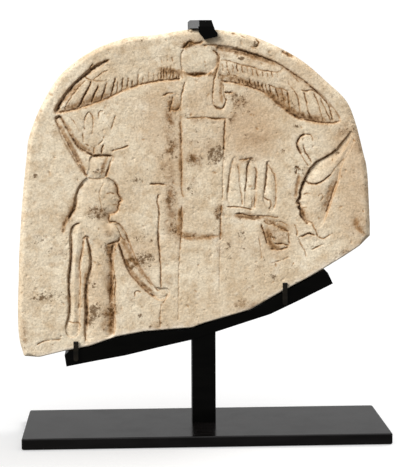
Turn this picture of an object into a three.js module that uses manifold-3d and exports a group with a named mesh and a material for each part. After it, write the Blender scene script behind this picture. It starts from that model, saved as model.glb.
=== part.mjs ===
// Fragment of a round-topped limestone stele carved in sunk relief, on a black steel
// display mount. Millimetres, +Z up. The origin is the centre of the base plate's
// underside, the carved face looks towards -Y, and +X is to the viewer's right.

import * as THREE from 'three';
import Module from 'manifold-3d';
import { mergeVertices } from 'three/addons/utils/BufferGeometryUtils.js';

const wasm = await Module();
wasm.setup();

// ---------------------------------------------------------------- driving dimensions

const GAP = 0.3;                    // clearance between neighbouring pieces

const FACE = -4;                    // y of the carved face, the post's front and the cradle's front
const STONE_THICK = 56;             // front to back
const STONE_BACK = FACE + STONE_THICK;
const EDGE_ROUND = 5;               // worn rounding round both faces of the slab

const PLATE = { wide: 372, deep: 130, thick: 11.3, corner: 3, edge: 1.5 };
const POST = { wide: 24.4, deep: 24.4, x: -1.2 };
const PRONG = { wide: 5, thick: 2.6 };
const CLIP = { top: 425.4, thick: 4.2, bridgeLow: 417.2 };
const BACK_BAR = { left: -12.5, right: 8, thick: 6, low: 98 };

const CUT_CLEAR = 3;                // how far every cutter stands out in front of the face

// ------------------------------------------------------------------------- materials

const limestone = () => new THREE.MeshStandardMaterial({
  color: 0xd3c0a2,
  roughness: 0.9,
  metalness: 0,
});

const blackSteel = () => new THREE.MeshStandardMaterial({
  color: 0x15130f,
  roughness: 0.35,
  metalness: 0.4,
});

// ------------------------------------------------------------------ solids and booleans

function solid(geometry) {
  geometry.deleteAttribute('normal');
  geometry.deleteAttribute('uv');
  const merged = mergeVertices(geometry, 1e-4);
  return new wasm.Manifold(new wasm.Mesh({
    numProp: 3,
    vertProperties: new Float32Array(merged.attributes.position.array),
    triVerts: new Uint32Array(merged.index.array),
  }));
}

function meshOf(name, manifold, material) {
  const { vertProperties, triVerts } = manifold.getMesh();
  const geometry = new THREE.BufferGeometry();
  geometry.setAttribute('position', new THREE.BufferAttribute(vertProperties, 3));
  geometry.setIndex(new THREE.BufferAttribute(triVerts, 1));
  geometry.computeVertexNormals();
  const mesh = new THREE.Mesh(geometry, material);
  mesh.name = name;
  return mesh;
}

const union = (solids) => solids.reduce((sum, next) => sum.add(next));

// Turns a geometry drawn in the XY plane upright, so that its y becomes z and its z
// points out of the carved face; local z = 0 lands on the given depth.
function upright(geometry, depth) {
  geometry.rotateX(Math.PI / 2);
  geometry.translate(0, depth, 0);
  return geometry;
}

// Front-view outline extruded between two depths, with an optional rounded edge.
function upended(shape, front, back, round = 0, roundSteps = 2, curveSegments = 2) {
  const geometry = new THREE.ExtrudeGeometry(shape, {
    depth: back - front - 2 * round,
    curveSegments,
    bevelEnabled: round > 0,
    bevelThickness: round,
    bevelSize: round,
    bevelOffset: -round,
    bevelSegments: roundSteps,
  });
  geometry.translate(0, 0, round);
  return upright(geometry, back);
}

const pairs = (points) => points.map(([x, z]) => new THREE.Vector2(x, z));

// Closed outline that runs smoothly through its points.
function smoothOutline(points, samplesPerPoint = 2) {
  const ring = new THREE.CatmullRomCurve3(points.map(([x, z]) => new THREE.Vector3(x, z, 0)), true);
  const samples = ring.getPoints(points.length * samplesPerPoint);
  return new THREE.Shape(samples.slice(0, -1).map((p) => new THREE.Vector2(p.x, p.y)));
}

function smoothLine(points) {
  return new THREE.CatmullRomCurve3(points.map(([x, z]) => new THREE.Vector3(x, z, 0)));
}

// ------------------------------------------------------------------------ carving tools

// V-shaped chisel cut along a line on the face.
function groove(line, width, depth, steps = 1) {
  const reach = (width / 2) * (1 + CUT_CLEAR / depth);
  const section = new THREE.Shape(pairs([[depth, 0], [-CUT_CLEAR, reach], [-CUT_CLEAR, -reach]]));
  const geometry = new THREE.ExtrudeGeometry(section, { steps, extrudePath: line });
  return solid(upright(geometry, FACE));
}

const straightGroove = (from, to, width, depth) => groove(
  new THREE.LineCurve3(new THREE.Vector3(...from, 0), new THREE.Vector3(...to, 0)),
  width,
  depth,
);

const curvedGroove = (points, width, depth, steps = 2 * (points.length - 1)) => groove(
  smoothLine(points),
  width,
  depth,
  steps,
);

// One short chisel cut across each of a row of places between two guide lines.
function featherCuts(upper, lower, count, width, depth, first = 0.04, last = 0.96) {
  const cuts = [];
  for (let i = 0; i < count; i += 1) {
    const t = first + ((last - first) * i) / (count - 1);
    const from = upper.getPointAt(t);
    const to = lower.getPointAt(t);
    cuts.push(straightGroove([from.x, from.y], [to.x, to.y], width, depth));
  }
  return cuts;
}

// Sunk relief: a hole with upright walls down to `depth`, and inside it the figure, whose
// edge slopes up from the bottom of the hole to a face `level` below the stone's.
function sunkRelief(stone, shapes, depth, slope, level = 0.4) {
  let carved = stone;
  for (const shape of shapes) {
    carved = carved.subtract(solid(upended(shape, FACE - CUT_CLEAR, FACE + depth)));
  }
  for (const shape of shapes) {
    const figure = new THREE.ExtrudeGeometry(shape, {
      depth: 4,
      bevelEnabled: true,
      bevelThickness: depth - level,
      bevelSize: slope,
      bevelOffset: -slope - 0.3,
      bevelSegments: 2,
    });
    carved = carved.add(solid(upright(figure, FACE + depth + 4)));
  }
  return carved;
}

// ------------------------------------------------------------------------ stone: outline

const LEFT_SIDE = [[-187, 82], [-192.5, 110], [-191, 172], [-187, 234], [-181, 288], [-178, 309]];
const LEFT_SHOULDER = [[-165, 341], [-144, 372.5], [-113.5, 395], [-79, 408]];
const CROWN = [[-51, 411], [-16, 416.3], [14.5, 416.3], [47, 410.5], [77.5, 398], [103, 383]];
const RIGHT_SHOULDER = [[128.5, 361], [146, 344], [155, 324], [164, 291]];
const RIGHT_SIDE = [[168.5, 270], [171.4, 224], [172, 204]];
const LOWER_BREAK = [
  [160, 193], [143.5, 182], [123.5, 170], [104.5, 159.3], [80, 146.5], [47.5, 128],
  [0, 114.7], [-13, 110], [-63, 106.5], [-91, 101.5], [-118.5, 92], [-145, 87], [-171, 81],
];

function stoneOutline() {
  const shape = new THREE.Shape();
  const [start, ...sides] = [...LEFT_SIDE, ...LEFT_SHOULDER, ...CROWN, ...RIGHT_SHOULDER, ...RIGHT_SIDE];
  shape.moveTo(...start);
  shape.splineThru(pairs(sides));
  for (const point of LOWER_BREAK) shape.lineTo(...point);
  return shape;
}

// --------------------------------------------------------------- stone: the winged disc

const DISC = { x: -3.8, z: 385.4, halfWide: 18.6, halfHigh: 13.8 };

const LEFT_WING_TOP = [[-23, 393], [-60, 392.5], [-94.4, 385.6], [-121.6, 370], [-139, 352.5], [-150.5, 338]];
const LEFT_WING_FOOT = [[-21, 367], [-51.6, 363], [-74, 358.5], [-92.8, 350], [-114, 341.5], [-145, 333]];
const LEFT_WING_COVERT = [[-22, 380], [-62, 377], [-98, 366.5], [-120, 357], [-140, 342]];

const RIGHT_WING_TOP = [[15, 398.5], [40.8, 394.3], [75.4, 381], [99.7, 364], [121.3, 348], [138, 326.5]];
const RIGHT_WING_FOOT = [[18.5, 364.7], [41, 360.7], [66.3, 349.3], [87.8, 331.4], [110.6, 322.5], [133.5, 320.5]];
const RIGHT_WING_COVERT = [[16.5, 384.5], [54.5, 377], [84, 363], [108, 346], [131, 328]];
const RIGHT_WING_SECOND = [[15, 371], [41, 366.7], [66, 357], [88, 345], [112, 333], [132, 324.5]];

function wingShape(top, foot) {
  const ring = [...smoothLine(top).getPoints(14), ...smoothLine(foot).getPoints(14).reverse()];
  return new THREE.Shape(ring.map((p) => new THREE.Vector2(p.x, p.y)));
}

function discShape() {
  const shape = new THREE.Shape();
  shape.absellipse(DISC.x, DISC.z, DISC.halfWide, DISC.halfHigh, 0, 2 * Math.PI);
  return new THREE.Shape(shape.getPoints(22).slice(0, -1));
}

// A cobra's hanging body beside the disc's tail: square at the top, round at the bottom.
function cobraShape(left, right, top, bottom) {
  const radius = (right - left) / 2;
  const shape = new THREE.Shape();
  shape.moveTo(left, top);
  shape.lineTo(left, bottom + radius);
  shape.absarc(left + radius, bottom + radius, radius, Math.PI, 2 * Math.PI, false);
  shape.lineTo(right, top);
  return new THREE.Shape(shape.getPoints(3));
}

function carveWingedDisc(stone) {
  const wings = [wingShape(LEFT_WING_TOP, LEFT_WING_FOOT), wingShape(RIGHT_WING_TOP, RIGHT_WING_FOOT)];
  const cobras = [cobraShape(-33, -22.8, 366, 336), cobraShape(9.6, 23, 366, 336.3)];
  const withWings = sunkRelief(stone, wings, 4, 2.4, 0.9);
  const withDisc = sunkRelief(withWings, [discShape()], 3.4, 4, 0.2);
  const withCobras = sunkRelief(withDisc, cobras, 2.6, 2.4);

  const leftTop = smoothLine(LEFT_WING_TOP);
  const leftCovert = smoothLine(LEFT_WING_COVERT);
  const leftFoot = smoothLine(LEFT_WING_FOOT);
  const rightTop = smoothLine(RIGHT_WING_TOP);
  const rightCovert = smoothLine(RIGHT_WING_COVERT);
  const rightSecond = smoothLine(RIGHT_WING_SECOND);
  const rightFoot = smoothLine(RIGHT_WING_FOOT);
  const cuts = [
    curvedGroove(LEFT_WING_COVERT, 3, 2.2, 10),
    curvedGroove(RIGHT_WING_COVERT, 3, 2.2, 10),
    curvedGroove(RIGHT_WING_SECOND, 3, 2.2, 10),
    ...featherCuts(leftCovert, leftFoot, 17, 2.6, 2.4),
    ...featherCuts(leftTop, leftCovert, 7, 2.4, 2, 0.55, 0.92),
    ...featherCuts(rightTop, rightCovert, 13, 2.4, 2, 0.1, 0.92),
    ...featherCuts(rightCovert, rightSecond, 13, 2.4, 2, 0.07, 0.94),
    ...featherCuts(rightSecond, rightFoot, 12, 2.4, 2.2, 0.1, 0.94),
  ];
  return withCobras.subtract(union(cuts));
}

// ------------------------------------------------------------ stone: the blank text frame

function carveFrame(stone) {
  const leftSide = [[-23, 326], [-24.2, 203], [-26.2, 179], [-27.4, 113]];
  const rightSide = [[23.4, 325.6], [20.6, 287], [18.3, 236], [16.1, 201], [15.2, 128]];
  const cuts = [
    curvedGroove(leftSide, 2.6, 1.8, 4),
    curvedGroove(rightSide, 2.6, 1.8, 4),
    straightGroove([-24, 326], [24.5, 325.8], 2.6, 1.8),
    straightGroove([-21, 321.8], [21, 321.8], 1.6, 0.9),
    straightGroove([-25.5, 208.6], [17.5, 207.2], 2.4, 1.6),
    straightGroove([-25.5, 202.8], [17.5, 201.2], 2.4, 1.6),
    curvedGroove([[-18.6, 365], [-22, 349], [-22.8, 329]], 2.2, 1.6, 2),
    curvedGroove([[10, 365.6], [8.6, 354.7], [9.1, 330]], 2.2, 1.4, 2),
  ];
  return stone.subtract(union(cuts));
}

// ---------------------------------------------------------------- stone: the goddess

const GODDESS_HEAD = [
  [-119, 266], [-99, 266], [-91, 261], [-88.5, 254], [-87, 247.5], [-84, 243], [-88, 240.5],
  [-88.5, 236], [-92, 231.5], [-98, 229.5], [-98.5, 220], [-112, 218], [-124, 219], [-138, 223],
  [-133, 236], [-131, 248], [-127, 258],
];
const GODDESS_BODY = [
  [-123.5, 215.5], [-110, 214], [-96, 217], [-85, 213], [-86, 203], [-92.5, 189], [-94.5, 172],
  [-95.5, 140], [-93.5, 108], [-108, 105], [-122.5, 101], [-122.5, 148], [-120, 163], [-117.2, 182],
  [-119, 197],
];
const BACK_ARM = [
  [-134.5, 217], [-126, 219], [-123.6, 204], [-125, 190], [-128.5, 176], [-129.5, 141], [-130, 117],
  [-131.5, 105], [-141.5, 104.5], [-142.5, 115], [-139.8, 128], [-139.6, 161], [-137.2, 185],
];
const FORWARD_ARM = [
  [-83.5, 211.5], [-77.6, 199], [-74, 189], [-67.5, 173.5], [-53, 156], [-46, 152], [-37, 151.5],
  [-37, 143], [-46, 141], [-53, 143.5], [-65.3, 154.5], [-76, 165.4], [-81.5, 179], [-87, 196],
];
const MODIUS = [[-114, 288.4], [-94, 288.4], [-101, 267.3], [-119, 267.3]];
const BACK_HORN = [
  [-149, 329], [-144, 311], [-135, 292], [-124, 274], [-119, 285], [-126, 297], [-134, 308], [-142, 325],
];

function carveGoddess(stone) {
  const figure = [GODDESS_BODY, BACK_ARM, FORWARD_ARM, GODDESS_HEAD].map((ring) => smoothOutline(ring));
  const carved = sunkRelief(stone, figure, 3.4, 1.8);
  const crown = [new THREE.Shape(pairs(MODIUS)), smoothOutline(BACK_HORN)];
  const crowned = sunkRelief(carved, crown, 2.6, 1.6);
  const cuts = [
    curvedGroove([[-93.5, 294], [-85, 296], [-77, 299]], 2.4, 1.6, 3),
    curvedGroove([[-121, 334], [-119.5, 324], [-115, 314]], 2.2, 1.2, 3),
    curvedGroove([[-92, 328], [-90.5, 322], [-92, 316]], 2.2, 1.2, 2),
    curvedGroove([[-118, 262], [-113, 250], [-113.5, 238], [-106, 229]], 2.6, 1.4, 5),
    straightGroove([-97, 250.5], [-91.5, 250], 1.8, 1),
    straightGroove([-93, 238.6], [-89, 238.2], 1.6, 0.9),
    straightGroove([-55.5, 260], [-40.5, 260], 3, 2),
    curvedGroove([[-47.9, 259], [-47.4, 210], [-44.6, 153]], 3, 2, 3),
    straightGroove([-44.3, 139], [-45.5, 111], 3, 2),
    straightGroove([-52, 155.5], [-52, 143], 1.8, 1.2),
  ];
  return crowned.subtract(union(cuts));
}

// ------------------------------------------------------------ stone: the offering table

// Tall loaf, round at the top, tapering a little towards its foot.
function loafShape(left, right, foot, top) {
  const middle = (left + right) / 2;
  return smoothOutline([
    [left, foot + 6], [left + 1.5, (foot + top) / 2], [left + 3.5, top - 7], [middle + 1, top],
    [right - 2, top - 9], [right, (foot + top) / 2], [right - 0.5, foot + 2], [middle, foot],
  ]);
}

function carveOfferings(stone) {
  const loaves = [
    loafShape(24, 39.6, 237.5, 286.5),
    loafShape(41.8, 54.6, 235.5, 285.5),
    loafShape(60.6, 74.4, 232, 284.5),
  ];
  const carved = sunkRelief(stone, loaves, 2.2, 1.6);
  const cuts = [
    straightGroove([21.5, 234], [48.7, 231.6], 3.4, 2.4),
    curvedGroove([[29.5, 228], [54, 225.6], [80, 224.6]], 3.6, 2.6, 3),
    straightGroove([61, 221.5], [88, 209.8], 2.8, 1.8),
    curvedGroove([[87, 211], [87.5, 202], [86, 193]], 2.8, 1.8, 2),
    straightGroove([59, 218], [67, 193.4], 2.8, 1.8),
    straightGroove([67.6, 209.7], [73, 197.5], 2.4, 1.4),
    curvedGroove([[66.5, 193], [76, 189.6], [86.5, 194]], 2.8, 1.8, 3),
    curvedGroove([[56.2, 213], [57.5, 195], [60.4, 178.5]], 2.4, 1.4, 3),
  ];
  return carved.subtract(union(cuts));
}

// ---------------------------------------------------------------------- stone: the king

const CROWN_AND_HEAD = [
  [103, 262], [108, 271.5], [119.5, 283], [135, 292], [152, 311.5], [154, 303], [146, 287], [139.6, 275],
  [137.4, 261.8], [130, 240.6], [125, 226], [120, 216], [113, 213.5], [110, 220], [103.5, 220.5],
  [99.5, 226], [99, 232], [95.5, 236.5], [98.5, 240.5], [98.5, 248], [100, 254],
];

function carveKing(stone) {
  const carved = sunkRelief(stone, [smoothOutline(CROWN_AND_HEAD)], 3.6, 2);
  const cuts = [
    curvedGroove([[103.5, 261.5], [112, 258.6], [121, 260.5], [131, 268.5], [140.5, 277]], 2.8, 1.8, 6),
    curvedGroove([[109.5, 279], [99.4, 291], [96, 299.8], [98.2, 305.6], [105, 309.3], [111, 305]], 3, 2, 9),
    straightGroove([101.6, 299.8], [109.5, 283.2], 2.2, 1.2),
    curvedGroove([[133, 262], [124, 247], [120, 232]], 2.4, 1.4, 4),
    straightGroove([101.5, 247.5], [108, 248.5], 1.8, 1),
    curvedGroove([[96.5, 203.4], [110.8, 207.4], [123.3, 202], [131, 206]], 2.6, 1.6, 5),
    curvedGroove([[92.9, 217.5], [96.4, 204], [106.5, 183.6]], 3, 2, 4),
    curvedGroove([[106.5, 184], [112, 191], [123.3, 196]], 2.6, 1.6, 3),
  ];
  return carved.subtract(union(cuts));
}

// -------------------------------------------------------------- stone: breaks and losses

// Wedge of stone knocked off: a box turned about its centre.
function chip([x, y, z], [wide, deep, high], [turnX, turnY, turnZ]) {
  const box = new THREE.BoxGeometry(wide, deep, high);
  box.rotateX(turnX);
  box.rotateY(turnY);
  box.rotateZ(turnZ);
  box.translate(x, y, z);
  return solid(box);
}

function knockOffChips(stone) {
  const chips = [
    chip([174, -8, 206], [30, 16, 44], [0.25, -0.5, 0.35]),      // right corner of the break
    chip([-192, -7, 86], [34, 14, 22], [0.3, 0.35, -0.3]),       // left corner of the break
    chip([88, -7, 397], [22, 12, 12], [0.35, 0.5, 0]),           // notch over the right wing
    chip([-3, -6, 417], [60, 8, 9], [0.35, 0, 0]),               // worn top edge under the clip
    chip([150, -7, 350], [26, 12, 14], [0.3, 0.9, 0]),           // right shoulder
    chip([-100, 56, 98], [180, 22, 16], [-0.6, -0.2, 0]),        // back of the lower break, left
    chip([90, 56, 146], [200, 22, 16], [-0.6, -0.5, 0]),         // back of the lower break, right
  ];
  return stone.subtract(union(chips));
}

function makeStone() {
  const blank = solid(upended(stoneOutline(), FACE, STONE_BACK, EDGE_ROUND, 3, 2));
  let stone = carveWingedDisc(blank);
  stone = carveFrame(stone);
  stone = carveGoddess(stone);
  stone = carveOfferings(stone);
  stone = carveKing(stone);
  return meshOf('stone', knockOffChips(stone), limestone());
}

// ------------------------------------------------------------------------ display mount

function makeBasePlate() {
  const { wide, deep, thick, corner, edge } = PLATE;
  const right = wide / 2 - corner;
  const far = deep / 2 - corner;
  const shape = new THREE.Shape();
  shape.absarc(right, far, corner, 0, Math.PI / 2);
  shape.absarc(-right, far, corner, Math.PI / 2, Math.PI);
  shape.absarc(-right, -far, corner, Math.PI, 1.5 * Math.PI);
  shape.absarc(right, -far, corner, 1.5 * Math.PI, 2 * Math.PI);
  const geometry = new THREE.ExtrudeGeometry(shape, {
    depth: thick - 2 * edge,
    curveSegments: 5,
    bevelThickness: edge,
    bevelSize: edge,
    bevelOffset: -edge,
    bevelSegments: 3,
  });
  geometry.translate(0, 0, edge);
  return meshOf('base_plate', solid(geometry), blackSteel());
}

// Underside of the cradle from left to right, in two runs that meet at the post.
const CRADLE_LEFT = [-143, 72];
const CRADLE_RIGHT = [132.7, 155.4];
const CRADLE_UNDERSIDE = [[-113.6, 77.5], [-82.6, 82.8], [-46.5, 91.2], [-13.9, 98.3],
  [11, 106.2], [57, 120.8], [67.4, 124], [98.5, 138.6]];

function cradleOutline() {
  const shape = new THREE.Shape();
  shape.moveTo(-144.8, 84);
  shape.lineTo(...CRADLE_LEFT);
  for (const point of CRADLE_UNDERSIDE) shape.lineTo(...point);
  shape.lineTo(...CRADLE_RIGHT);
  shape.lineTo(127.5, 166.4);
  shape.lineTo(124.3, 169.8);
  shape.lineTo(60, 160);
  shape.lineTo(-60, 125);
  shape.lineTo(-139.5, 104);
  shape.lineTo(-139.5, 88.8);
  return shape;
}

// The stone's outline, a gap wider all round, which hollows the cradle's top to fit it.
function stoneSeat() {
  const geometry = new THREE.ExtrudeGeometry(stoneOutline(), {
    depth: STONE_THICK + 40,
    curveSegments: 2,
    bevelThickness: 0,
    bevelSize: 0,
    bevelOffset: GAP,
    bevelSegments: 1,
  });
  return solid(upright(geometry, STONE_BACK + 20));
}

function makeCradle() {
  const block = solid(upended(cradleOutline(), FACE, STONE_BACK));
  return meshOf('cradle', block.subtract(stoneSeat()), blackSteel());
}

function makePost() {
  const bottom = PLATE.thick + GAP;
  const block = new THREE.BoxGeometry(POST.wide, POST.deep, 120);
  block.translate(POST.x, FACE + POST.deep / 2, bottom + 60);
  const below = new THREE.Shape(pairs([
    [-60, bottom - 5], [60, bottom - 5], [60, 121.4], [11, 105.9], [-13.9, 98], [-60, 87.8],
  ]));
  const trimmed = solid(block).intersect(solid(upended(below, FACE - 5, STONE_BACK)));
  return meshOf('post', trimmed, blackSteel());
}

// Flat finger on the cradle's front that reaches over the stone's lower edge.
function makeProng(name, left, bottom, top) {
  const radius = PRONG.wide / 2;
  const shape = new THREE.Shape();
  shape.moveTo(left, top);
  shape.lineTo(left, bottom + radius);
  shape.absarc(left + radius, bottom + radius, radius, Math.PI, 2 * Math.PI, false);
  shape.lineTo(left + PRONG.wide, top);
  const back = FACE - GAP;
  return meshOf(name, solid(upended(shape, back - PRONG.thick, back, 0.4, 1, 5)), blackSteel());
}

// What is left of a solid behind the flat face through `point` that looks along `normal`.
function planeOff(block, point, normal) {
  const away = normal.map((n) => -n);
  const offset = away.reduce((sum, n, i) => sum + n * point[i], 0);
  return block.trimByPlane(away, offset);
}

// Strap bent over the stone's top edge: the bridge spans the slab from back to front and
// the claw hangs from it in front of the face. The bend leans back, and its left corner
// is filed away.
function makeTopClip() {
  const front = FACE - GAP - CLIP.thick;
  const back = STONE_BACK + GAP + BACK_BAR.thick;
  const claw = new THREE.Shape(pairs([
    [-5.8, 419], [-4.8, 412.3], [-1.6, 408.6], [0.4, 405.8], [13.9, 408.8], [13.9, 412],
    [11.2, 415.3], [10, 419],
  ]));
  const bridge = new THREE.BoxGeometry(25.5, back - front, CLIP.top - CLIP.bridgeLow);
  bridge.translate(-1.05, (front + back) / 2, (CLIP.top + CLIP.bridgeLow) / 2);
  const bends = [
    [[0, front, CLIP.bridgeLow + 0.8], [0, -0.92, 0.39]],
    [[-5.8, front, CLIP.bridgeLow + 0.8], [-0.38, -0.85, 0.355]],
    [[8, 0, CLIP.top], [0.958, 0, 0.286]],
  ];
  const bent = bends.reduce((block, [point, normal]) => planeOff(block, point, normal), solid(bridge));
  const hook = solid(upended(claw, front, FACE - GAP)).add(bent);
  return meshOf('top_clip', hook, blackSteel());
}

function makeBackBar() {
  const { left, right, thick, low } = BACK_BAR;
  const high = CLIP.bridgeLow - GAP;
  const geometry = new THREE.BoxGeometry(right - left, thick, high - low);
  geometry.translate((left + right) / 2, STONE_BACK + GAP + thick / 2, (low + high) / 2);
  return meshOf('back_bar', solid(geometry), blackSteel());
}

// ----------------------------------------------------------------------------- assembly

const stele = new THREE.Group();
stele.add(
  makeStone(),
  makeBasePlate(),
  makePost(),
  makeCradle(),
  makeProng('prong_left', -135.4, 77.5, 98.3),
  makeProng('prong_right', 80.3, 133.2, 157),
  makeTopClip(),
  makeBackBar(),
);

export default stele;
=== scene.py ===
"""Fragment of a limestone stele carved in sunk relief, on a black steel display mount.

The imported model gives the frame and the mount's places.  The stone is made here as one
mesh: a height map of its carved front, its sides and its rough back, all in millimetres.
"""
import math

import bpy
import mathutils
import numpy as np
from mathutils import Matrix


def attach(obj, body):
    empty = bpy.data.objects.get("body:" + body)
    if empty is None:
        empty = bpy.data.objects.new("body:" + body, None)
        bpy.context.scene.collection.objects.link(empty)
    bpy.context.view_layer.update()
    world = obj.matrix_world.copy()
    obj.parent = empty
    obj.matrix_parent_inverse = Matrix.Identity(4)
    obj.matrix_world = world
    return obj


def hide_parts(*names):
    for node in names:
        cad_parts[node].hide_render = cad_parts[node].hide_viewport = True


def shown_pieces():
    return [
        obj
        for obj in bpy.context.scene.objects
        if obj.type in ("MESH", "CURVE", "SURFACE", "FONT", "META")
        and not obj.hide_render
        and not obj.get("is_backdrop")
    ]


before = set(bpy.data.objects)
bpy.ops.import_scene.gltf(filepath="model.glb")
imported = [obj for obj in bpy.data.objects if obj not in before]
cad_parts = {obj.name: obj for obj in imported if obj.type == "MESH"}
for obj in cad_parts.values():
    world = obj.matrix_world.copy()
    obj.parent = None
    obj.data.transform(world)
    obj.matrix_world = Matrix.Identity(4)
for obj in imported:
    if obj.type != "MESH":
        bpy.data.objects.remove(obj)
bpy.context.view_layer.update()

# ---------------------------------------------------------------------------- numbers

MM = 0.001

FACE = -4.0                 # y of the carved face
STONE_BACK = 52.0           # y of the plain back
GRID = 0.6                  # spacing of the height map's samples
BACK_GRID = 2.4             # spacing of the plainer back
MAP_LEFT, MAP_RIGHT = -200.0, 180.0
MAP_LOW, MAP_HIGH = 74.0, 424.0
SIDE_ROWS = 26              # rows of the side wall from front to back
SIDE_STEP = 1.9             # spacing round the side wall
STONE_TRIANGLES = 192000
EDGE_INSET = 1.3            # how far in from the outline the front's own mesh ends
EDGE_TURN = 3.0             # depth over which the side swells out to the outline
EDGE_REACH = 16.0           # how far in from the outline the front's rounding is looked for
BREAK_ROUND = 1.6           # rounding of the front's edge along the lower break
ARCH_ROUND = 3.6            # what the arch's rounding has on top of that
BACK_ROUND = 2.5            # how far the back's edge lies in front of the back
WALL = 1.2                  # width of the steep wall round a sunk figure
JITTER = 0.7                # how far a chisel line strays from its curve, both ways
PITS = 420                  # small pits on the face
FIGURE_REACH = 26.0         # how far in from its outline a sunk figure is shaped

rng = np.random.default_rng(1203)

LEFT_WING = (
    (((-149.5, 334), (-146, 341.5), (-141.5, 348.5), (-137, 354.5), (-131.5, 361),
      (-125.5, 366.5), (-119, 371), (-114, 375.5), (-109.5, 379.5)), 4.2, 3.2, 1.0),
    (((-109.5, 379.5), (-106, 380.5), (-101.5, 383.5), (-96, 385.5)), 2.5, 1.8, 0.8),
    (((-115.5, 375.5), (-114.5, 379), (-111.5, 382)), 2, 1.2, 0.5),
    (((-120, 365.5), (-130, 354.5), (-135.5, 347), (-140, 339.5), (-141, 335.5)), 2, 1.2, 0.6),
    (((-113.5, 364.5), (-118, 355.5), (-123.5, 345.5), (-126, 340), (-129, 337.5)), 2.6, 2.0, 1),
    (((-106.5, 360.5), (-110.5, 352.5), (-113, 345.5), (-114.5, 342)), 2.4, 1.8, 0.9),
    (((-98.5, 363.5), (-101, 354.5), (-103.5, 348.5), (-104, 345)), 2.4, 1.8, 0.9),
    (((-89.5, 367.5), (-92, 358.5), (-94.5, 349)), 2.4, 1.8, 0.9),
    (((-43, 386.5), (-42.5, 382)), 1.8, 0.8, 0.5),
    (((-37, 387), (-37, 383.5)), 1.8, 0.8, 0.3),
    (((-32, 388.5), (-32, 383.5)), 1.8, 0.8, 0.5),
    (((-121, 369), (-117, 367), (-113, 365)), 1.8, 1.1, 0.6),
    (((-113, 365), (-107, 369.5), (-102, 373.5), (-97, 375.5)), 1.6, 1.0, 0.5),
    (((-112.5, 365), (-106, 364.5), (-101, 364.5), (-98, 366.5)), 1.6, 0.9, 0.5),
    (((-147, 333), (-140, 334.5), (-128.5, 337), (-112.5, 342), (-97.5, 347.5), (-83, 354.5),
      (-75, 357.5)), 2.6, 1.4, 0.6),
    (((-75, 357.5), (-64, 361), (-52.5, 363.5), (-43.5, 365), (-23.5, 366.5)), 2.6, 1.8, 0.8),
)

RIGHT_WING = (
    (((-1, 400), (8.5, 400.5), (17.5, 399), (26.5, 396.5)), 3, 1.4, 0.5),
    (((26.5, 396.5), (36.5, 395), (47, 392), (57, 389), (65, 386), (73.5, 382.5), (81.5, 378),
      (87.5, 374)), 2.8, 2.4, 0.9),
    (((87.5, 374), (96, 368), (103, 363.5), (109, 358), (115.5, 352.5), (120.5, 347.5),
      (127.5, 338), (132, 323)), 2.4, 1.8, 0.7),
    (((127.5, 340.5), (133, 335), (137, 329), (139, 324), (136.5, 321.5)), 1.8, 0.8, 0.3),
    (((16.5, 385), (24.5, 384.5), (39.5, 380), (49, 378), (59, 375), (67, 373.5), (74.5, 373),
      (79, 375), (81, 378.5)), 1.8, 1, 0.6),
    (((24.5, 374.5), (26.5, 370.5)), 1.6, 0.9, 0.5),
    (((14.5, 370.5), (20.5, 369), (26, 370), (32.5, 369), (36.5, 366)), 1.6, 0.9, 0.6),
    (((64.5, 355.5), (67.5, 348)), 2.2, 1.6, 0.9),
    (((72.5, 358), (74.5, 351.5), (76.5, 344)), 2.4, 1.8, 0.9),
    (((85, 353.5), (86, 344.5), (87, 336.5)), 2.4, 1.8, 0.9),
    (((91.5, 354.5), (95.5, 347.5), (97.5, 336.5), (99, 327.5)), 2, 1.3, 0.6),
    (((102, 352.5), (104, 344.5), (106, 334.5), (109.5, 324.5)), 2.2, 1.5, 0.8),
    (((112, 351.5), (115.5, 343.5), (119.5, 331), (122, 322)), 2, 1.2, 0.6),
    (((118.5, 347), (124.5, 334), (130.5, 322.5)), 2, 1.2, 0.6),
    (((65, 360.5), (73.5, 357), (80.5, 355.5), (86, 353)), 1.8, 1.1, 0.6),
    (((99, 355), (103, 353.5), (110, 354.5), (115, 352)), 2, 1.2, 0.7),
    (((87, 373), (92.5, 367), (97.5, 362.5)), 1.6, 0.9, 0.4),
    (((85.5, 365), (87.5, 359.5), (92, 354.5)), 1.6, 0.8, 0.3),
    (((17, 364.5), (26.5, 363), (34.5, 361.5), (41.5, 359.5), (50, 357), (58, 354.5),
      (64.5, 350.5)), 2.8, 2.2, 0.95),
    (((64.5, 350.5), (75.5, 341), (81.5, 336.5), (88.5, 331), (96, 327), (102, 325)), 5, 2.4, 0.9),
    (((102, 325), (111.5, 323), (121.5, 321.5), (132, 321), (137, 322)), 2.4, 1.6, 0.8),
)

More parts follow.
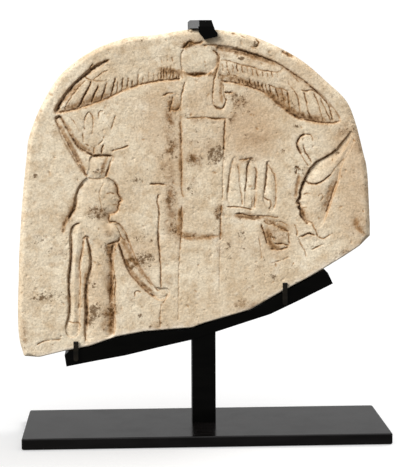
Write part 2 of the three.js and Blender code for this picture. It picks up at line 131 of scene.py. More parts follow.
DISC = (
    (((8.5, 396), (13, 392), (15.5, 387), (15, 380.5), (11, 367), (9.5, 359), (9, 351)), 2.4, 1.8, 0.7),
    (((9, 351), (9, 344), (9.5, 340)), 1.8, 1, 0.4),
    (((9.5, 340), (13, 337), (18.5, 336.5), (21.5, 340), (22.5, 347)), 2.4, 1.6, 0.8),
    (((20, 361), (20, 353), (21.5, 345)), 1.6, 0.8, 0.3),
    (((-20, 397), (-23, 390.5), (-23, 380.5), (-21.5, 374)), 2.5, 1.2, 0.1),
    (((-18, 372), (-11, 370), (-4, 371), (2, 371)), 4, 2.6, 1),
    (((-22, 397.5), (-18, 400), (-15, 403.5), (-11, 402.5), (-7, 402), (-1, 404)), 4, 2, 0.9),
    (((-41.5, 349.5), (-36.5, 352), (-30, 352.5)), 2.2, 1.4, 0.8),
    (((-31.5, 348.5), (-33, 342), (-34, 336)), 2.6, 1.4, 0.5),
    (((-34, 340.5), (-34.5, 332.5)), 2.8, 1.6, 0.8),
    (((-34, 335.5), (-28.5, 335), (-25.5, 336.5), (-25, 340)), 2, 1.2, 0.7),
    (((-19, 364.5), (-21, 357), (-22.5, 350), (-23.5, 341), (-23.5, 334)), 2.2, 1, 0.3),
    (((20.5, 352.5), (29, 352.5)), 2.4, 1.8, 1),
)

FRAME = (
    (((-18.5, 326.5), (-9, 327), (1, 327.5), (11, 326), (23, 326)), 2.4, 1, 0.6),
    (((-24, 325), (-24, 318), (-23.5, 309.5), (-23.5, 298.5)), 2.2, 1.4, 0.6),
    (((-23.5, 298.5), (-23, 274), (-23.5, 260.5), (-23, 251.5), (-21, 245.5)), 2, 1.3, 0.6),
    (((-23.5, 237), (-23, 225), (-23.5, 210.5), (-24.5, 202), (-25.5, 192)), 2.2, 1.3, 0.6),
    (((-25.5, 192), (-26.5, 171), (-27, 140), (-27.5, 119)), 1.6, 0.7, 0.2),
    (((21.5, 326), (21, 319.5), (20.5, 310.5), (20, 294)), 2.4, 1.6, 0.7),
    (((20, 294), (19, 268.5), (18.5, 243)), 2, 0.8, 0.15),
    (((17.5, 238), (16.5, 220.5), (16.5, 210), (16, 202)), 2, 1.3, 0.6),
    (((16, 198.5), (15.5, 181), (15, 145)), 1.6, 0.7, 0.15),
    (((-24, 206), (-17, 205), (-9, 206)), 3, 1, 0.5),
    (((0.5, 204.5), (9.5, 206), (16, 205)), 3, 0.8, 0.35),
)

GODDESS_CROWN = (
    (((-151.5, 326), (-145, 314.5), (-136.5, 298), (-126.5, 280), (-122.5, 273.5),
      (-119.5, 268)), 3, 1.6, 0.5),
    (((-151, 326.5), (-148, 328), (-145.5, 328.5), (-139.5, 317.5), (-135, 309.5),
      (-129.5, 300.5), (-124, 295.5), (-113, 289)), 3.4, 2.2, 0.75),
    (((-136.5, 328.5), (-132, 324), (-129, 318.5), (-126.5, 313.5)), 1.6, 0.7, 0.35),
    (((-121.5, 315.5), (-121.5, 323.5), (-119.5, 330.5), (-117, 333.5), (-114, 330.5),
      (-112.5, 323.5), (-114, 311)), 2, 1.1, 0.4),
    (((-107, 326.5), (-107, 331.5), (-105, 334.5), (-101.5, 334)), 2, 1.1, 0.45),
    (((-90, 329.5), (-92, 323), (-94.5, 315.5)), 2, 0.9, 0.35),
    (((-123.5, 312.5), (-123, 307), (-122.5, 303)), 2, 1, 0.4),
    (((-107.5, 299.5), (-105, 302.5), (-102.5, 305.5)), 2, 1, 0.5),
    (((-102, 300), (-104, 296), (-104.5, 291)), 2.2, 1.4, 0.7),
    (((-112.5, 290.5), (-112, 295), (-111.5, 298)), 2, 1, 0.5),
    (((-121, 301), (-117.5, 299)), 1.8, 0.8, 0.6),
    (((-113.5, 288.5), (-107, 289), (-101, 289), (-94, 289)), 3, 2.4, 1),
    (((-94, 293.5), (-90.5, 295), (-84.5, 296.5), (-77, 299)), 2, 1.2, 0.5),
    (((-95, 284.5), (-97, 278.5), (-99, 272.5), (-101, 267)), 3, 2.2, 0.7),
    (((-118.5, 267), (-111.5, 265.5), (-101, 266.5)), 2, 0.9, 0.3),
)

GODDESS = (
    (((-122.5, 260.5), (-128, 255.5), (-130.5, 249.5), (-130, 244), (-131.5, 237),
      (-133.5, 231.5)), 3, 1.6, 0.5),
    (((-133, 235), (-136, 230.5), (-139, 224)), 2.6, 1.8, 0.9),
    (((-141, 221.5), (-143.5, 216.5), (-144.5, 210)), 2.4, 1.2, 0.5),
    (((-137, 210.5), (-135.5, 215.5), (-133, 218.5), (-127, 220.5)), 2.4, 1.8, 0.8),
    (((-136.5, 209.5), (-136, 198), (-136.5, 187), (-139, 166), (-139.5, 151.5), (-138.5, 138),
      (-139.5, 127)), 2.2, 1.8, 0.7),
    (((-123.5, 203), (-125, 195), (-128, 176.5), (-127.5, 166), (-127.5, 156.5),
      (-129, 145.5)), 2.4, 1.4, 0.5),
    (((-129, 137), (-130, 131)), 2, 1.2, 0.6),
    (((-121, 206), (-119, 200), (-116.5, 180.5), (-118, 171), (-121, 162), (-122, 151.5),
      (-123, 141)), 3, 2.2, 0.7),
    (((-121.5, 135), (-121, 125.5), (-122, 115)), 3.5, 2.8, 1),
    (((-122, 115), (-123, 105), (-123, 97.5)), 2.6, 1.2, 0.4),
    (((-124.5, 204), (-121, 206.5), (-118, 204.5)), 3, 1.8, 0.9),
    (((-94, 198.5), (-96, 182), (-94.5, 174), (-92.5, 165.5), (-97, 148), (-97, 141),
      (-98, 136.5)), 3, 1.8, 0.8),
    (((-92.5, 170), (-91.5, 159.5), (-92.5, 146), (-92.5, 135.5), (-94, 122)), 2.2, 1.4, 0.5),
    (((-94, 122), (-94, 104.5)), 2.4, 0.9, 0.35),
    (((-99, 198), (-94, 199.5), (-88.5, 201), (-87, 205)), 3, 1.8, 0.9),
    (((-97.5, 220.5), (-92.5, 221.5), (-86.5, 218), (-82.5, 213), (-79.5, 206),
      (-77, 198.5)), 2.6, 1.6, 0.6),
    (((-77, 198.5), (-69, 180), (-64.5, 170.5), (-59.5, 162), (-54, 155)), 2.2, 1.2, 0.4),
    (((-88.5, 199.5), (-83, 183), (-80, 175), (-75.5, 166.5), (-63.5, 153), (-57.5, 147.5),
      (-51, 143.5)), 2.8, 2, 0.75),
    (((-87.5, 211), (-84.5, 205), (-80.5, 201.5)), 2, 1.1, 0.6),
    (((-51.5, 152.5), (-48, 150), (-44.5, 151)), 2, 1.1, 0.6),
    (((-43, 137), (-40.5, 141), (-38.5, 146)), 2.2, 1.2, 0.6),
    (((-72, 143.5), (-71, 149.5), (-65.5, 149)), 2, 1, 0.5),
    (((-139.5, 124.5), (-141.5, 119.5), (-142.5, 114.5)), 2, 1.2, 0.6),
    (((-141.5, 119.5), (-135.5, 117.5), (-129.5, 117), (-127.5, 113)), 2, 1, 0.5),
)

STAFF = (
    (((-55, 259.5), (-50.5, 260), (-45.5, 260), (-40, 259)), 2.4, 1.8, 0.9),
    (((-47, 249.5), (-48, 241.5), (-46.5, 231), (-47.5, 206.5), (-45.5, 179.5),
      (-45, 152.5)), 2.2, 1.4, 0.65),
    (((-45, 136), (-46, 124.5), (-46, 111)), 1.8, 0.9, 0.3),
)

TABLE = (
    (((29.5, 284), (27.5, 276.5), (26, 268.5), (25, 258.5), (24, 250)), 2, 1, 0.4),
    (((34.5, 278.5), (35.5, 270.5), (36, 260.5), (38, 249), (39, 237.5)), 2, 0.9, 0.35),
    (((45.5, 282.5), (43.5, 273.5), (43.5, 265.5), (41.5, 251)), 2.2, 1.2, 0.6),
    (((51, 276.5), (53.5, 272.5), (53, 265.5), (52, 253)), 2, 1.2, 0.6),
    (((52, 247), (51, 233.5)), 1.8, 0.9, 0.4),
    (((49, 246), (49, 234.5)), 1.6, 0.7, 0.25),
    (((64.5, 281.5), (64, 271.5), (63, 260), (61.5, 249)), 2, 1.4, 0.7),
    (((65, 279.5), (69.5, 272.5), (72.5, 266), (73.5, 242.5), (71, 233.5)), 2, 1, 0.5),
    (((61, 245.5), (63.5, 243), (67.5, 242), (68.5, 236.5), (66.5, 233)), 2.2, 1.3, 0.6),
    (((35.5, 284), (46.5, 285), (50, 286)), 2.4, 0.8, 0.6),
    (((23, 235.5), (34.5, 235.5), (43.5, 234), (49, 232.5)), 1.8, 1.1, 0.55),
    (((31.5, 228), (38.5, 228.5), (44.5, 226.5), (53, 226)), 2.6, 1.6, 0.8),
    (((53, 226), (63, 226), (76.5, 224.5)), 2, 1.2, 0.7),
    (((42.5, 225.5), (48, 223), (53, 222)), 1.8, 0.8, 0.4),
    (((58.5, 217.5), (62, 206.5), (65, 197)), 2.4, 1.5, 0.7),
    (((67.5, 208.5), (69.5, 205.5), (72.5, 200)), 2, 1.1, 0.6),
    (((61, 221.5), (65.5, 217.5), (70.5, 217.5)), 2.4, 1, 0.6),
    (((69.5, 219), (77.5, 214), (87, 210)), 2.2, 1.2, 0.6),
    (((73.5, 220.5), (80.5, 219.5), (86, 215.5)), 1.8, 0.8, 0.3),
    (((86, 209.5), (86.5, 202), (87.5, 197)), 2, 1, 0.5),
    (((72.5, 197), (81, 197), (87, 195)), 2.2, 1.2, 0.6),
    (((67.5, 192), (74.5, 191), (81, 192), (86, 194)), 2.4, 1.3, 0.7),
    (((56, 203.5), (57.5, 194), (59, 182.5)), 2, 0.8, 0.3),
    (((68.5, 176.5), (76.5, 179.5), (87, 183.5)), 2, 0.7, 0.25),
)

KING = (
    (((99.5, 289.5), (96.5, 294.5), (95, 300), (96.5, 304.5), (99.5, 308), (104, 309.5)), 2.8, 2.2, 0.95),
    (((104, 309.5), (108.5, 309), (111, 306), (111, 302.5)), 1.8, 1, 0.4),
    (((101.5, 299.5), (103, 292.5), (107, 286.5), (110, 280.5)), 2.2, 1.4, 0.7),
    (((99.5, 289.5), (102.5, 283.5), (107, 277)), 2, 1, 0.4),
    (((102.5, 262.5), (105.5, 268.5), (109, 274.5), (113.5, 279.5), (118.5, 283), (131, 290),
      (136, 294)), 3, 2.8, 1),
    (((136, 294), (140, 299.5), (144.5, 304.5), (148.5, 309.5)), 2.6, 2, 0.7),
    (((103.5, 262), (107.5, 259.5), (112.5, 258.5), (117.5, 259.5), (123, 262.5),
      (130.5, 268.5)), 2.4, 1.8, 0.8),
    (((130.5, 268.5), (134.5, 274.5), (140.5, 281), (144.5, 285)), 3, 0.9, 0.3),
    (((136.5, 261.5), (133, 252.5), (128, 237), (125.5, 228.5)), 2.8, 1.8, 0.6),
    (((124.5, 226.5), (124.5, 221.5)), 1.6, 0.7, 0.2),
    (((104, 218.5), (108, 218.5)), 2, 1.4, 0.8),
    (((110.5, 217), (113.5, 212.5), (117, 204)), 2, 1.1, 0.5),
    (((98.5, 204.5), (101.5, 205), (104.5, 207), (108.5, 207.5), (114, 206)), 2.6, 2.2, 1),
    (((117, 204), (122, 202), (126, 204), (130.5, 206.5)), 2, 1, 0.4),
    (((92.5, 217.5), (95, 211.5), (95.5, 205)), 2.4, 1, 0.4),
    (((96.5, 203), (99.5, 196), (103.5, 189.5), (105, 183.5)), 2.4, 1.1, 0.4),
    (((110.5, 191), (116, 193.5), (123, 196.5)), 2, 1, 0.4),
    (((93.5, 277), (97, 275), (97.5, 273)), 2, 1, 0.6),
    (((95, 273), (94, 268)), 1.8, 0.9, 0.5),
)

LOSSES = (
    (((28, 411.5), (32.5, 411.5)), 2, 1.2, 0.7),
    (((37.5, 410), (42.5, 407.5)), 1.6, 0.8, 0.4),
    (((53, 406), (55.5, 403), (54.5, 399.5), (52.5, 398.5)), 2.4, 1.8, 0.8),
    (((79.5, 394), (84.5, 391), (91, 387.5)), 4, 2.6, 0.7),
    (((-173, 94.5), (-166.5, 98.5), (-158.5, 99.5), (-148, 100.5)), 2, 1, 0.35),
)

# ------------------------------------------------------- outlines of the raised figures

LEFT_SIDE = ((-187, 82), (-192.5, 110), (-191, 172), (-187, 234), (-181, 288), (-178, 309))
LEFT_SHOULDER = ((-165, 341), (-144, 372.5), (-113.5, 395), (-79, 408))
CROWN = ((-51, 411), (-16, 416.3), (14.5, 416.3), (47, 410.5), (77.5, 398), (103, 383))
RIGHT_SHOULDER = ((128.5, 361), (146, 344), (155, 324), (164, 291))
RIGHT_SIDE = ((168.5, 270), (171.4, 224), (172, 204))
LOWER_BREAK = ((172, 204), (160, 193), (143.5, 182), (123.5, 170), (104.5, 159.3), (80, 146.5),
               (47.5, 128), (0, 114.7), (-13, 110), (-63, 106.5), (-91, 101.5), (-118.5, 92),
               (-145, 87), (-171, 81), (-187, 82))

# Closed outlines of the figures that stand in sunk relief.  Each point is x, z and how
# sharply the figure's edge is cut there, from 0, faded away, to 1.
LEFT_WING_BODY = (
    (-23, 390, 0), (-60, 388, 0), (-92, 383, 0.1), (-110, 379, 0.7), (-121.6, 371, 1),
    (-139, 353.5, 1), (-150.5, 335.5, 1), (-143, 333.5, 1), (-114, 341.5, 1), (-92.8, 350, 1),
    (-74, 358, 1), (-51.6, 363.5, 0.9), (-25, 366.5, 0.6), (-21, 378, 0.2),
)
LEFT_WING_RIM = (
    (-96, 385.5, 0.4), (-108, 380.5, 1), (-121.6, 371, 1), (-139, 353.5, 1), (-150.5, 335, 1),
    (-143, 336, 0), (-133, 347, 0), (-122, 358, 0), (-112, 367, 0), (-101, 377, 0),
)
RIGHT_WING_BODY = (
    (15, 398.5, 0.7), (40.8, 394.3, 1), (75.4, 381, 1), (99.7, 364, 0.8), (121.3, 348, 0.7),
    (138, 326.5, 0.7), (133.5, 320.8, 0.8), (110.6, 322.5, 1), (87.8, 331.4, 1), (66.3, 349.3, 1),
    (41, 360.7, 1), (18.5, 364.7, 1), (15.5, 380, 0.3),
)
DISC_EDGE = (
    (-22.6, 384, 0.4), (-20, 375, 0.6), (-12, 370.5, 1), (0, 370.5, 1), (9, 375.5, 0.8),
    (15, 384, 0.8), (12.5, 393.5, 0.7), (3, 400, 0.3), (-8, 401, 0.2), (-18, 396, 0.3),
)
GODDESS_FIGURE = (
    (-119, 266, 0.5), (-108, 266.5, 0.4), (-99, 266, 0.6), (-91.6, 261.5, 1), (-88.9, 256, 1),
    (-88.2, 250.5, 1), (-86.4, 247, 1), (-84.4, 243.4, 1), (-87.6, 241.2, 1), (-86.8, 239, 1),
    (-88.2, 236.6, 1), (-88.6, 233, 1), (-93, 229.8, 1), (-97, 228.5, 1), (-97.5, 222, 0.9),
    (-92, 220.5, 0.3), (-86, 213, 0), (-86.5, 203, 0.8), (-92.5, 194, 1), (-94.5, 174, 1),
    (-95, 150, 1), (-93.5, 108, 0.8), (-108, 102, 0), (-122.5, 101, 0.6), (-122.5, 130, 1),
    (-122.5, 150, 1), (-119.5, 165, 1), (-117, 182, 1), (-119.5, 200, 0.8), (-124, 210, 0),
    (-138, 222, 0.4), (-133.4, 236, 0.9), (-131, 248, 0.9), (-127, 258, 0.7),
)
BACK_ARM = (
    (-132, 219, 0.7), (-124, 216, 0), (-123.6, 204, 0.7), (-125, 190, 1), (-128, 176, 0.9),
    (-128.6, 141, 0.8), (-129.5, 119, 0.8), (-130.5, 107, 0.5), (-136, 103, 0.5),
    (-141.8, 106, 0.6), (-142.5, 115, 0.7), (-139.4, 128, 1), (-139.4, 161, 1),
    (-137, 187, 1), (-137, 208, 0.9),
)
FORWARD_ARM = (
    (-93, 219, 0.3), (-86, 216.5, 0.9), (-79, 204, 1), (-74, 190, 1), (-67, 175, 0.8),
    (-54, 156, 0.8), (-47, 152, 0.8), (-38, 151, 0.6), (-38, 144, 0.6), (-46, 140.5, 0.7),
    (-54, 145, 1), (-65.3, 155.5, 1), (-76, 167, 1), (-82, 181, 1), (-88, 198, 1), (-92, 210, 0),
)
MODIUS = ((-114, 288.4, 1), (-94, 288.4, 1), (-97, 278, 1), (-101, 267.3, 0.8), (-110, 266.4, 0.3),
          (-119, 267.3, 0.6), (-117, 277, 0.5))
BACK_HORN = (
    (-150, 327, 0.9), (-145, 311, 0.8), (-136, 293, 0.8), (-124, 274, 0.9), (-119, 272, 0.2),
    (-116, 286, 0.3), (-123, 294, 0.9), (-132, 305, 0.9), (-141, 322, 0.8), (-146, 328, 0.8),
)
LOAVES = (
    ((24, 243.5, 0.7), (25, 262, 0.8), (27.5, 279.5, 0.8), (32, 286.5, 0.6), (36, 276, 0.4),
     (38, 262, 0.5), (39, 239.5, 0.5), (31.8, 236.5, 0.3)),
    ((42, 241.5, 0.6), (43, 260.5, 0.9), (45, 278.5, 1), (49, 285.5, 0.6), (53, 275, 1),
     (53, 260.5, 0.9), (51.5, 237.5, 0.9), (46, 235.5, 0.3)),
    ((61, 242, 0.7), (62.5, 258, 1), (64.5, 279, 1), (67.5, 281, 0.7), (72.4, 268, 0.8),
     (73.6, 250, 0.8), (71.5, 234, 0.8), (67, 232, 0.4)),
)
KING_HEAD = (
    (103, 262, 1), (108, 271.5, 1), (119.5, 283, 1), (135, 292, 1), (145, 304, 0.9),
    (151, 311.5, 0.6), (153, 303, 0.3), (146, 287, 0.4), (139.6, 275, 0.5), (137.4, 261.8, 0.7),
    (130, 240.6, 1), (125, 226, 0.8), (119, 215, 0.3), (111, 215.5, 0.2), (104, 220.5, 0.9),
    (99.4, 225.5, 1), (98.8, 231, 1), (97.2, 234.6, 1), (98.6, 237.4, 1), (95, 239.6, 1),
    (98.6, 246, 1), (98.4, 250, 1), (100.2, 256, 1),
)

GODDESS_FACE = (
    (((-91.6, 261.5), (-88.9, 256), (-88.2, 250.5), (-86.4, 247), (-84.4, 243.4)), 2.4, 1.6, 0.75),
    (((-84.4, 243.4), (-87.6, 241.2), (-86.8, 239), (-88.2, 236.6), (-88.6, 233),
      (-93, 229.8)), 2, 1.4, 0.7),
    (((-97, 229), (-97.8, 224), (-97, 220)), 2, 1.1, 0.6),
    (((-99.5, 250.2), (-96, 251.4), (-92, 250)), 1.5, 0.8, 0.5),
    (((-93.5, 239), (-89.5, 238.8)), 1.3, 0.6, 0.45),
    (((-102, 262), (-106, 255), (-107, 246), (-105, 237), (-106.5, 228)), 1.8, 0.6, 0.15),
)
KING_FACE = (
    (((103, 262), (100.2, 256), (98.4, 250), (98.6, 246), (95, 239.6)), 3.4, 3.0, 1.0),
    (((95, 239.6), (98.6, 237.4), (97.2, 234.6), (98.8, 231), (99.4, 225.5),
      (104, 220.5)), 3, 2.5, 0.9),
    (((104, 220.5), (110, 219), (113, 215)), 2.2, 1.4, 0.55),
    (((102.5, 247.5), (106, 249.2), (110.5, 247.6)), 1.6, 0.9, 0.5),
    (((101, 234.6), (105.5, 234)), 1.3, 0.7, 0.45),
    (((117, 246), (120, 249), (122, 245), (119, 240.5)), 1.8, 0.9, 0.35),
)

# Rows of short feathers: guide curve of their tops, of their tips, how many, width,
# depth, dirt.
FEATHER_ROWS = (
    (((-87, 367), (-72, 370), (-58, 374), (-46, 377)),
     ((-88.5, 352.5), (-73, 357.5), (-58, 362), (-46, 364.5)), 9, 1.9, 1.2, 0.5),
    (((-43, 381), (-33, 380.5), (-22, 374)), ((-43.5, 366), (-33, 366.5), (-22, 367)),
     8, 1.9, 1.2, 0.75),
    (((18, 384.5), (30, 382.5), (44, 379), (58, 375.5), (74, 373)),
     ((19.5, 374), (33, 373), (47, 370), (61, 368), (76, 367.5)), 12, 1.8, 0.9, 0.6),
    (((14, 372), (24, 372.5), (36, 369.5)), ((15, 366), (25, 366), (38, 364)), 6, 1.8, 0.9, 0.6),
    (((17, 369.5), (28, 369), (42, 367), (57, 363), (67, 360)),
     ((19, 364), (30, 362.5), (44, 359.5), (59, 354), (69, 347)), 13, 2.3, 1.7, 1.0),
    (((72, 359), (79, 357.5), (85, 354)), ((76.5, 343.5), (82, 340), (87.5, 336)), 3, 2.4, 1.5, 1.0),
)

# Broad shallow hollows whose wide brown bands are painted shade along the figures' rims, together with
# dirt.
SOFT_HOLLOWS_DIRT_AND_SHADE = (
    (((64, 352), (74, 344.5), (86, 335), (98, 330), (110, 326), (124, 324.5)), 13, 0.8, 0.62),
    (((72, 356), (79, 349), (86, 341)), 12, 0.5, 0.45),
    (((16, 368), (34, 365), (50, 360), (62, 355)), 9, 0.6, 0.5),
    (((-142, 338), (-128, 341), (-112, 345.5), (-96, 352)), 8, 0.4, 0.4),
    (((-144, 342), (-134, 354), (-122, 365)), 9, 0.5, 0.4),
    (((-98, 196), (-96, 183), (-95, 165), (-96, 148), (-96, 130), (-97, 105)), 9, 0.7, 0.6),
    (((-121, 170), (-122, 152), (-121.5, 130), (-122, 110)), 8, 0.7, 0.7),
    (((-147, 322), (-138, 305), (-128, 286), (-121, 272)), 7, 0.5, 0.4),
    (((-140, 322), (-131, 306), (-122, 297), (-113, 291)), 8, 0.6, 0.4),
    (((-99, 288), (-103, 276), (-105, 268)), 7, 0.5, 0.5),
    (((-132, 252), (-132, 242), (-136, 231), (-142, 222), (-145, 210)), 9, 0.6, 0.5),
    (((-84, 205), (-76, 186), (-66, 171), (-55, 158)), 9, 0.4, 0.4),
    (((-84, 186), (-76, 171), (-64, 157), (-52, 146)), 8, 0.6, 0.6),
    (((10, 399), (24, 396), (40, 392), (60, 386), (78, 380)), 10, 0.6, 0.5),
    (((60, 224), (72, 218), (86, 210)), 10, 0.5, 0.35),
    (((64, 216), (66, 204), (70, 194), (80, 192)), 10, 0.6, 0.45),
    (((30, 227), (46, 225), (62, 225)), 8, 0.5, 0.5),
    (((133, 262), (127, 244), (121, 230)), 10, 0.7, 0.35),
    (((97, 268), (95, 256), (93, 242)), 7, 0.6, 0.45),
    (((99, 236), (101, 228), (106, 221)), 9, 0.6, 0.65),
    (((15, 392), (14, 380), (10, 366)), 7, 0.5, 0.45),
    (((-24, 330), (-24, 300), (-24, 270)), 7, 0.3, 0.4),
    (((-25, 235), (-25, 220), (-26, 205)), 9, 0.3, 0.55),
    (((-26, 205), (-10, 204), (14, 205)), 9, 0.3, 0.5),
    (((155, 228), (158, 214), (168, 204)), 10, 0.8, 0.35),
    (((-48, 376), (-38, 375), (-28, 373), (-16, 370)), 13, 0.4, 0.5),
    (((18, 366), (17, 352), (19, 341)), 7, 0.4, 0.45),
    (((-33, 347), (-35, 338), (-28, 336), (-24, 345)), 8, 0.4, 0.5),
)

# ------------------------------------------------------------------ the height map

xs = np.arange(MAP_LEFT, MAP_RIGHT + GRID / 2, GRID)
zs = np.arange(MAP_LOW, MAP_HIGH + GRID / 2, GRID)
X, Z = np.meshgrid(xs, zs)


def smooth(t):
    """Eased step from 0 to 1."""
    t = np.clip(t, 0.0, 1.0)
    return t * t * (3.0 - 2.0 * t)


def lattice_noise(u, v, seed):
    """Smooth random numbers from 0 to 1, one per unit cell of u and v."""
    i, j = np.floor(u).astype(int), np.floor(v).astype(int)
    fu, fv = smooth(u - i), smooth(v - j)
    table = np.random.default_rng(seed).random((256, 256))

    def at(a, b):
        return table[b % 256, a % 256]

    low = at(i, j) * (1 - fu) + at(i + 1, j) * fu
    high = at(i, j + 1) * (1 - fu) + at(i + 1, j + 1) * fu
    return low * (1 - fv) + high * fv


def cloud(x, z, size, seed, octaves=3):
    """Layered noise from about -1 to 1 whose largest lumps are size across."""
    total, weight = 0.0, 0.0
    for k in range(octaves):
        scale, strength = size / 2.0 ** k, 0.55 ** k
        layer = lattice_noise(x / scale + 31 * k, z / scale + 17 * k, seed + k)
        total = total + strength * (layer - 0.5)
        weight += strength
    return 2.0 * total / weight


def curve(points, step=1.2, closed=False):
    """Catmull-Rom curve through the points, sampled about every step."""
    p = np.asarray(points, float)
    if closed:
        p = np.vstack([p[-1], p, p[0], p[1]])
    else:
        p = np.vstack([2 * p[0] - p[1], p, 2 * p[-1] - p[-2]])
    out = []
    for a, b, c, d in zip(p[:-3], p[1:-2], p[2:-1], p[3:]):
        count = max(2, int(np.hypot(*(c - b)[:2]) / step))
        t = (np.arange(count) / count)[:, None]
        out.append(0.5 * (2 * b + (c - a) * t + (2 * a - 5 * b + 4 * c - d) * t ** 2
                          + (3 * b - a - 3 * c + d) * t ** 3))
    if not closed:
        out.append(p[-2:-1])
    return np.vstack(out)


def lengths_along(path):
    """Length of a path up to each of its points."""
    return np.concatenate([[0], np.cumsum(np.hypot(*np.diff(path, axis=0).T))])


def window(low, high):
    """Slices of the map that hold the box from low to high."""
    c0, c1 = np.searchsorted(xs, [low[0], high[0]])
    r0, r1 = np.searchsorted(zs, [low[1], high[1]])
    return slice(max(r0, 0), r1 + 1), slice(max(c0, 0), c1 + 1)


def distance_to(path, reach):
    """The window of the map within reach of a path, the distance to the path and the
    place along it there, and the path's length."""
    rows, cols = window(path.min(0) - reach, path.max(0) + reach)
    x, z = X[rows, cols], Z[rows, cols]
    distance = np.full(x.shape, float(reach))
    along = np.zeros(x.shape)
    lengths = np.hypot(*np.diff(path, axis=0).T)
    done = 0.0
    for a, b, length in zip(path[:-1], path[1:], lengths):
        low, high = np.minimum(a, b) - reach, np.maximum(a, b) + reach
        c0, c1 = np.searchsorted(x[0], [low[0], high[0]])
        r0, r1 = np.searchsorted(z[:, 0], [low[1], high[1]])
        part = (slice(r0, r1), slice(c0, c1))
        dx, dz = x[part] - a[0], z[part] - a[1]
        ux, uz = (b - a) / max(length, 1e-6)
        t = np.clip(dx * ux + dz * uz, 0.0, length)
        d = np.hypot(dx - t * ux, dz - t * uz)
        nearer = d < distance[part]
        distance[part] = np.where(nearer, d, distance[part])
        along[part] = np.where(nearer, done + t, along[part])
        done += length
    return rows, cols, distance, along, done


def distance_map(path):
    """Distance to a path over the whole map, up to EDGE_REACH."""
    far = np.full_like(X, EDGE_REACH)
    rows, cols, distance, _, _ = distance_to(path, EDGE_REACH)
    far[rows, cols] = distance
    return far


def inside(path, rows, cols):
    """True at the map's samples that lie within the closed path."""
    x, heights = xs[cols], zs[rows]
    result = np.zeros((len(heights), len(x)), bool)
    for (ax, az), (bx, bz) in zip(path, np.roll(path, -1, axis=0)):
        r0, r1 = np.searchsorted(heights, [min(az, bz), max(az, bz)])
        if r1 > r0:
            z = heights[r0:r1, None]
            result[r0:r1] ^= x[None, :] < ax + (z - az) * (bx - ax) / (bz - az)
    return result


# ------------------------------------------------------------------ carving tools


def cut(points, width, depth, dirt_shade):
    """Chisel line: a weathered V along a curve, shallower at its ends, with brown soiling in it, which in
    the broad shallow hollows is painted shade as well.
    """
    path = curve(points)
    path = path + JITTER * (rng.random(path.shape) - 0.5)
    rows, cols, distance, along, length = distance_to(path, 1.6 * width + 1.5)
    uneven = 1.0 + 0.5 * wobble[rows, cols] + 0.5 * quiver[rows, cols]
    half = 0.42 * width * uneven
    taper = np.clip(np.minimum(along, length - along) / (0.9 * width) + 0.35, 0.0, 1.0)
    across = np.clip(1.0 - distance / half, 0.0, 1.0)
    floor = 0.95 * depth * taper * uneven * across
    line_map[rows, cols] = np.maximum(line_map[rows, cols], floor)
    core = smooth(1.15 - distance / (0.28 * width + 0.35))
    halo = np.exp(-(distance / (0.7 * width + 0.6)) ** 2)
    stain_and_shade = dirt_shade ** 0.6 * taper * (0.7 * core + 0.3 * halo) * np.clip(0.1 + 0.9 * uneven, 0.1, 1.4)
    dirt_shade_map[rows, cols] = np.maximum(dirt_shade_map[rows, cols], stain_and_shade)


def evenly(points, count):
    """Places evenly spread along a curve."""
    path = curve(points)
    s = lengths_along(path)
    at = np.linspace(0, s[-1], count)
    return np.column_stack([np.interp(at, s, path[:, 0]), np.interp(at, s, path[:, 1])])


def feather_row(tops, tips, count, width, depth, dirt_shade):
    """Feathers of a wing: cuts from one guide curve to another, unevenly long and deep."""
    for top, tip in zip(evenly(tops, count), evenly(tips, count)):
        start = tip + (top - tip) * rng.uniform(0.6, 1.05)
        middle = (start + tip) / 2 + rng.uniform(-0.7, 0.7, 2)
        strength = rng.uniform(0.65, 1.15)
        cut((start, middle, tip), width * strength ** 0.5, depth * strength, dirt_shade * strength)


def sunk(outline, edge, level, slope, dirt_shade):
    """Sunk relief: the outline is cut down by edge, and the body inside rises to level."""
    path = curve(outline, closed=True)
    ring = np.vstack([path, path[:1]])
    rows, cols, distance, along, _ = distance_to(ring[:, :2], FIGURE_REACH)
    weight = np.clip(np.interp(along, lengths_along(ring[:, :2]), ring[:, 2]), 0.0, 1.0)
    weight = weight * (1.0 + 0.35 * wobble[rows, cols])
    within = inside(path[:, :2], rows, cols)
    body = level + (edge - level) * weight * np.exp(-(distance / slope) ** 1.3)
    body *= smooth(distance / 3.0 + weight)
    brink = edge * weight * np.clip(1.0 - distance / WALL, 0.0, 1.0)
    depth_map[rows, cols] = np.maximum(depth_map[rows, cols], np.where(within, body, brink))
    stain_and_shade = dirt_shade * weight * np.exp(-(distance / 3.0) ** 2)
    dirt_shade_map[rows, cols] = np.maximum(dirt_shade_map[rows, cols], stain_and_shade)


def pit(x, z, size, depth, dirt_shade, stretch=1.0, turn=0.0):
    """Small hollow, round or stretched."""
    reach = 1.8 * size * max(stretch, 1.0)
    rows, cols = window(np.array((x - reach, z - reach)), np.array((x + reach, z + reach)))
    dx, dz = X[rows, cols] - x, Z[rows, cols] - z
    u = (dx * math.cos(turn) + dz * math.sin(turn)) / stretch
    v = -dx * math.sin(turn) + dz * math.cos(turn)
    r = np.hypot(u, v) / size
    loss_map[rows, cols] += depth * np.clip(1.0 - r ** 2, 0.0, 1.0)
    dirt_shade_map[rows, cols] = np.maximum(dirt_shade_map[rows, cols], dirt_shade * smooth(1.3 - r))


# ------------------------------------------------------------------ the stone's outline

stone_outline = np.vstack([
    curve(LEFT_SIDE + LEFT_SHOULDER + CROWN + RIGHT_SHOULDER + RIGHT_SIDE, 2.0)[:-1],
    np.array(LOWER_BREAK, float)[:-1],
])[::-1]


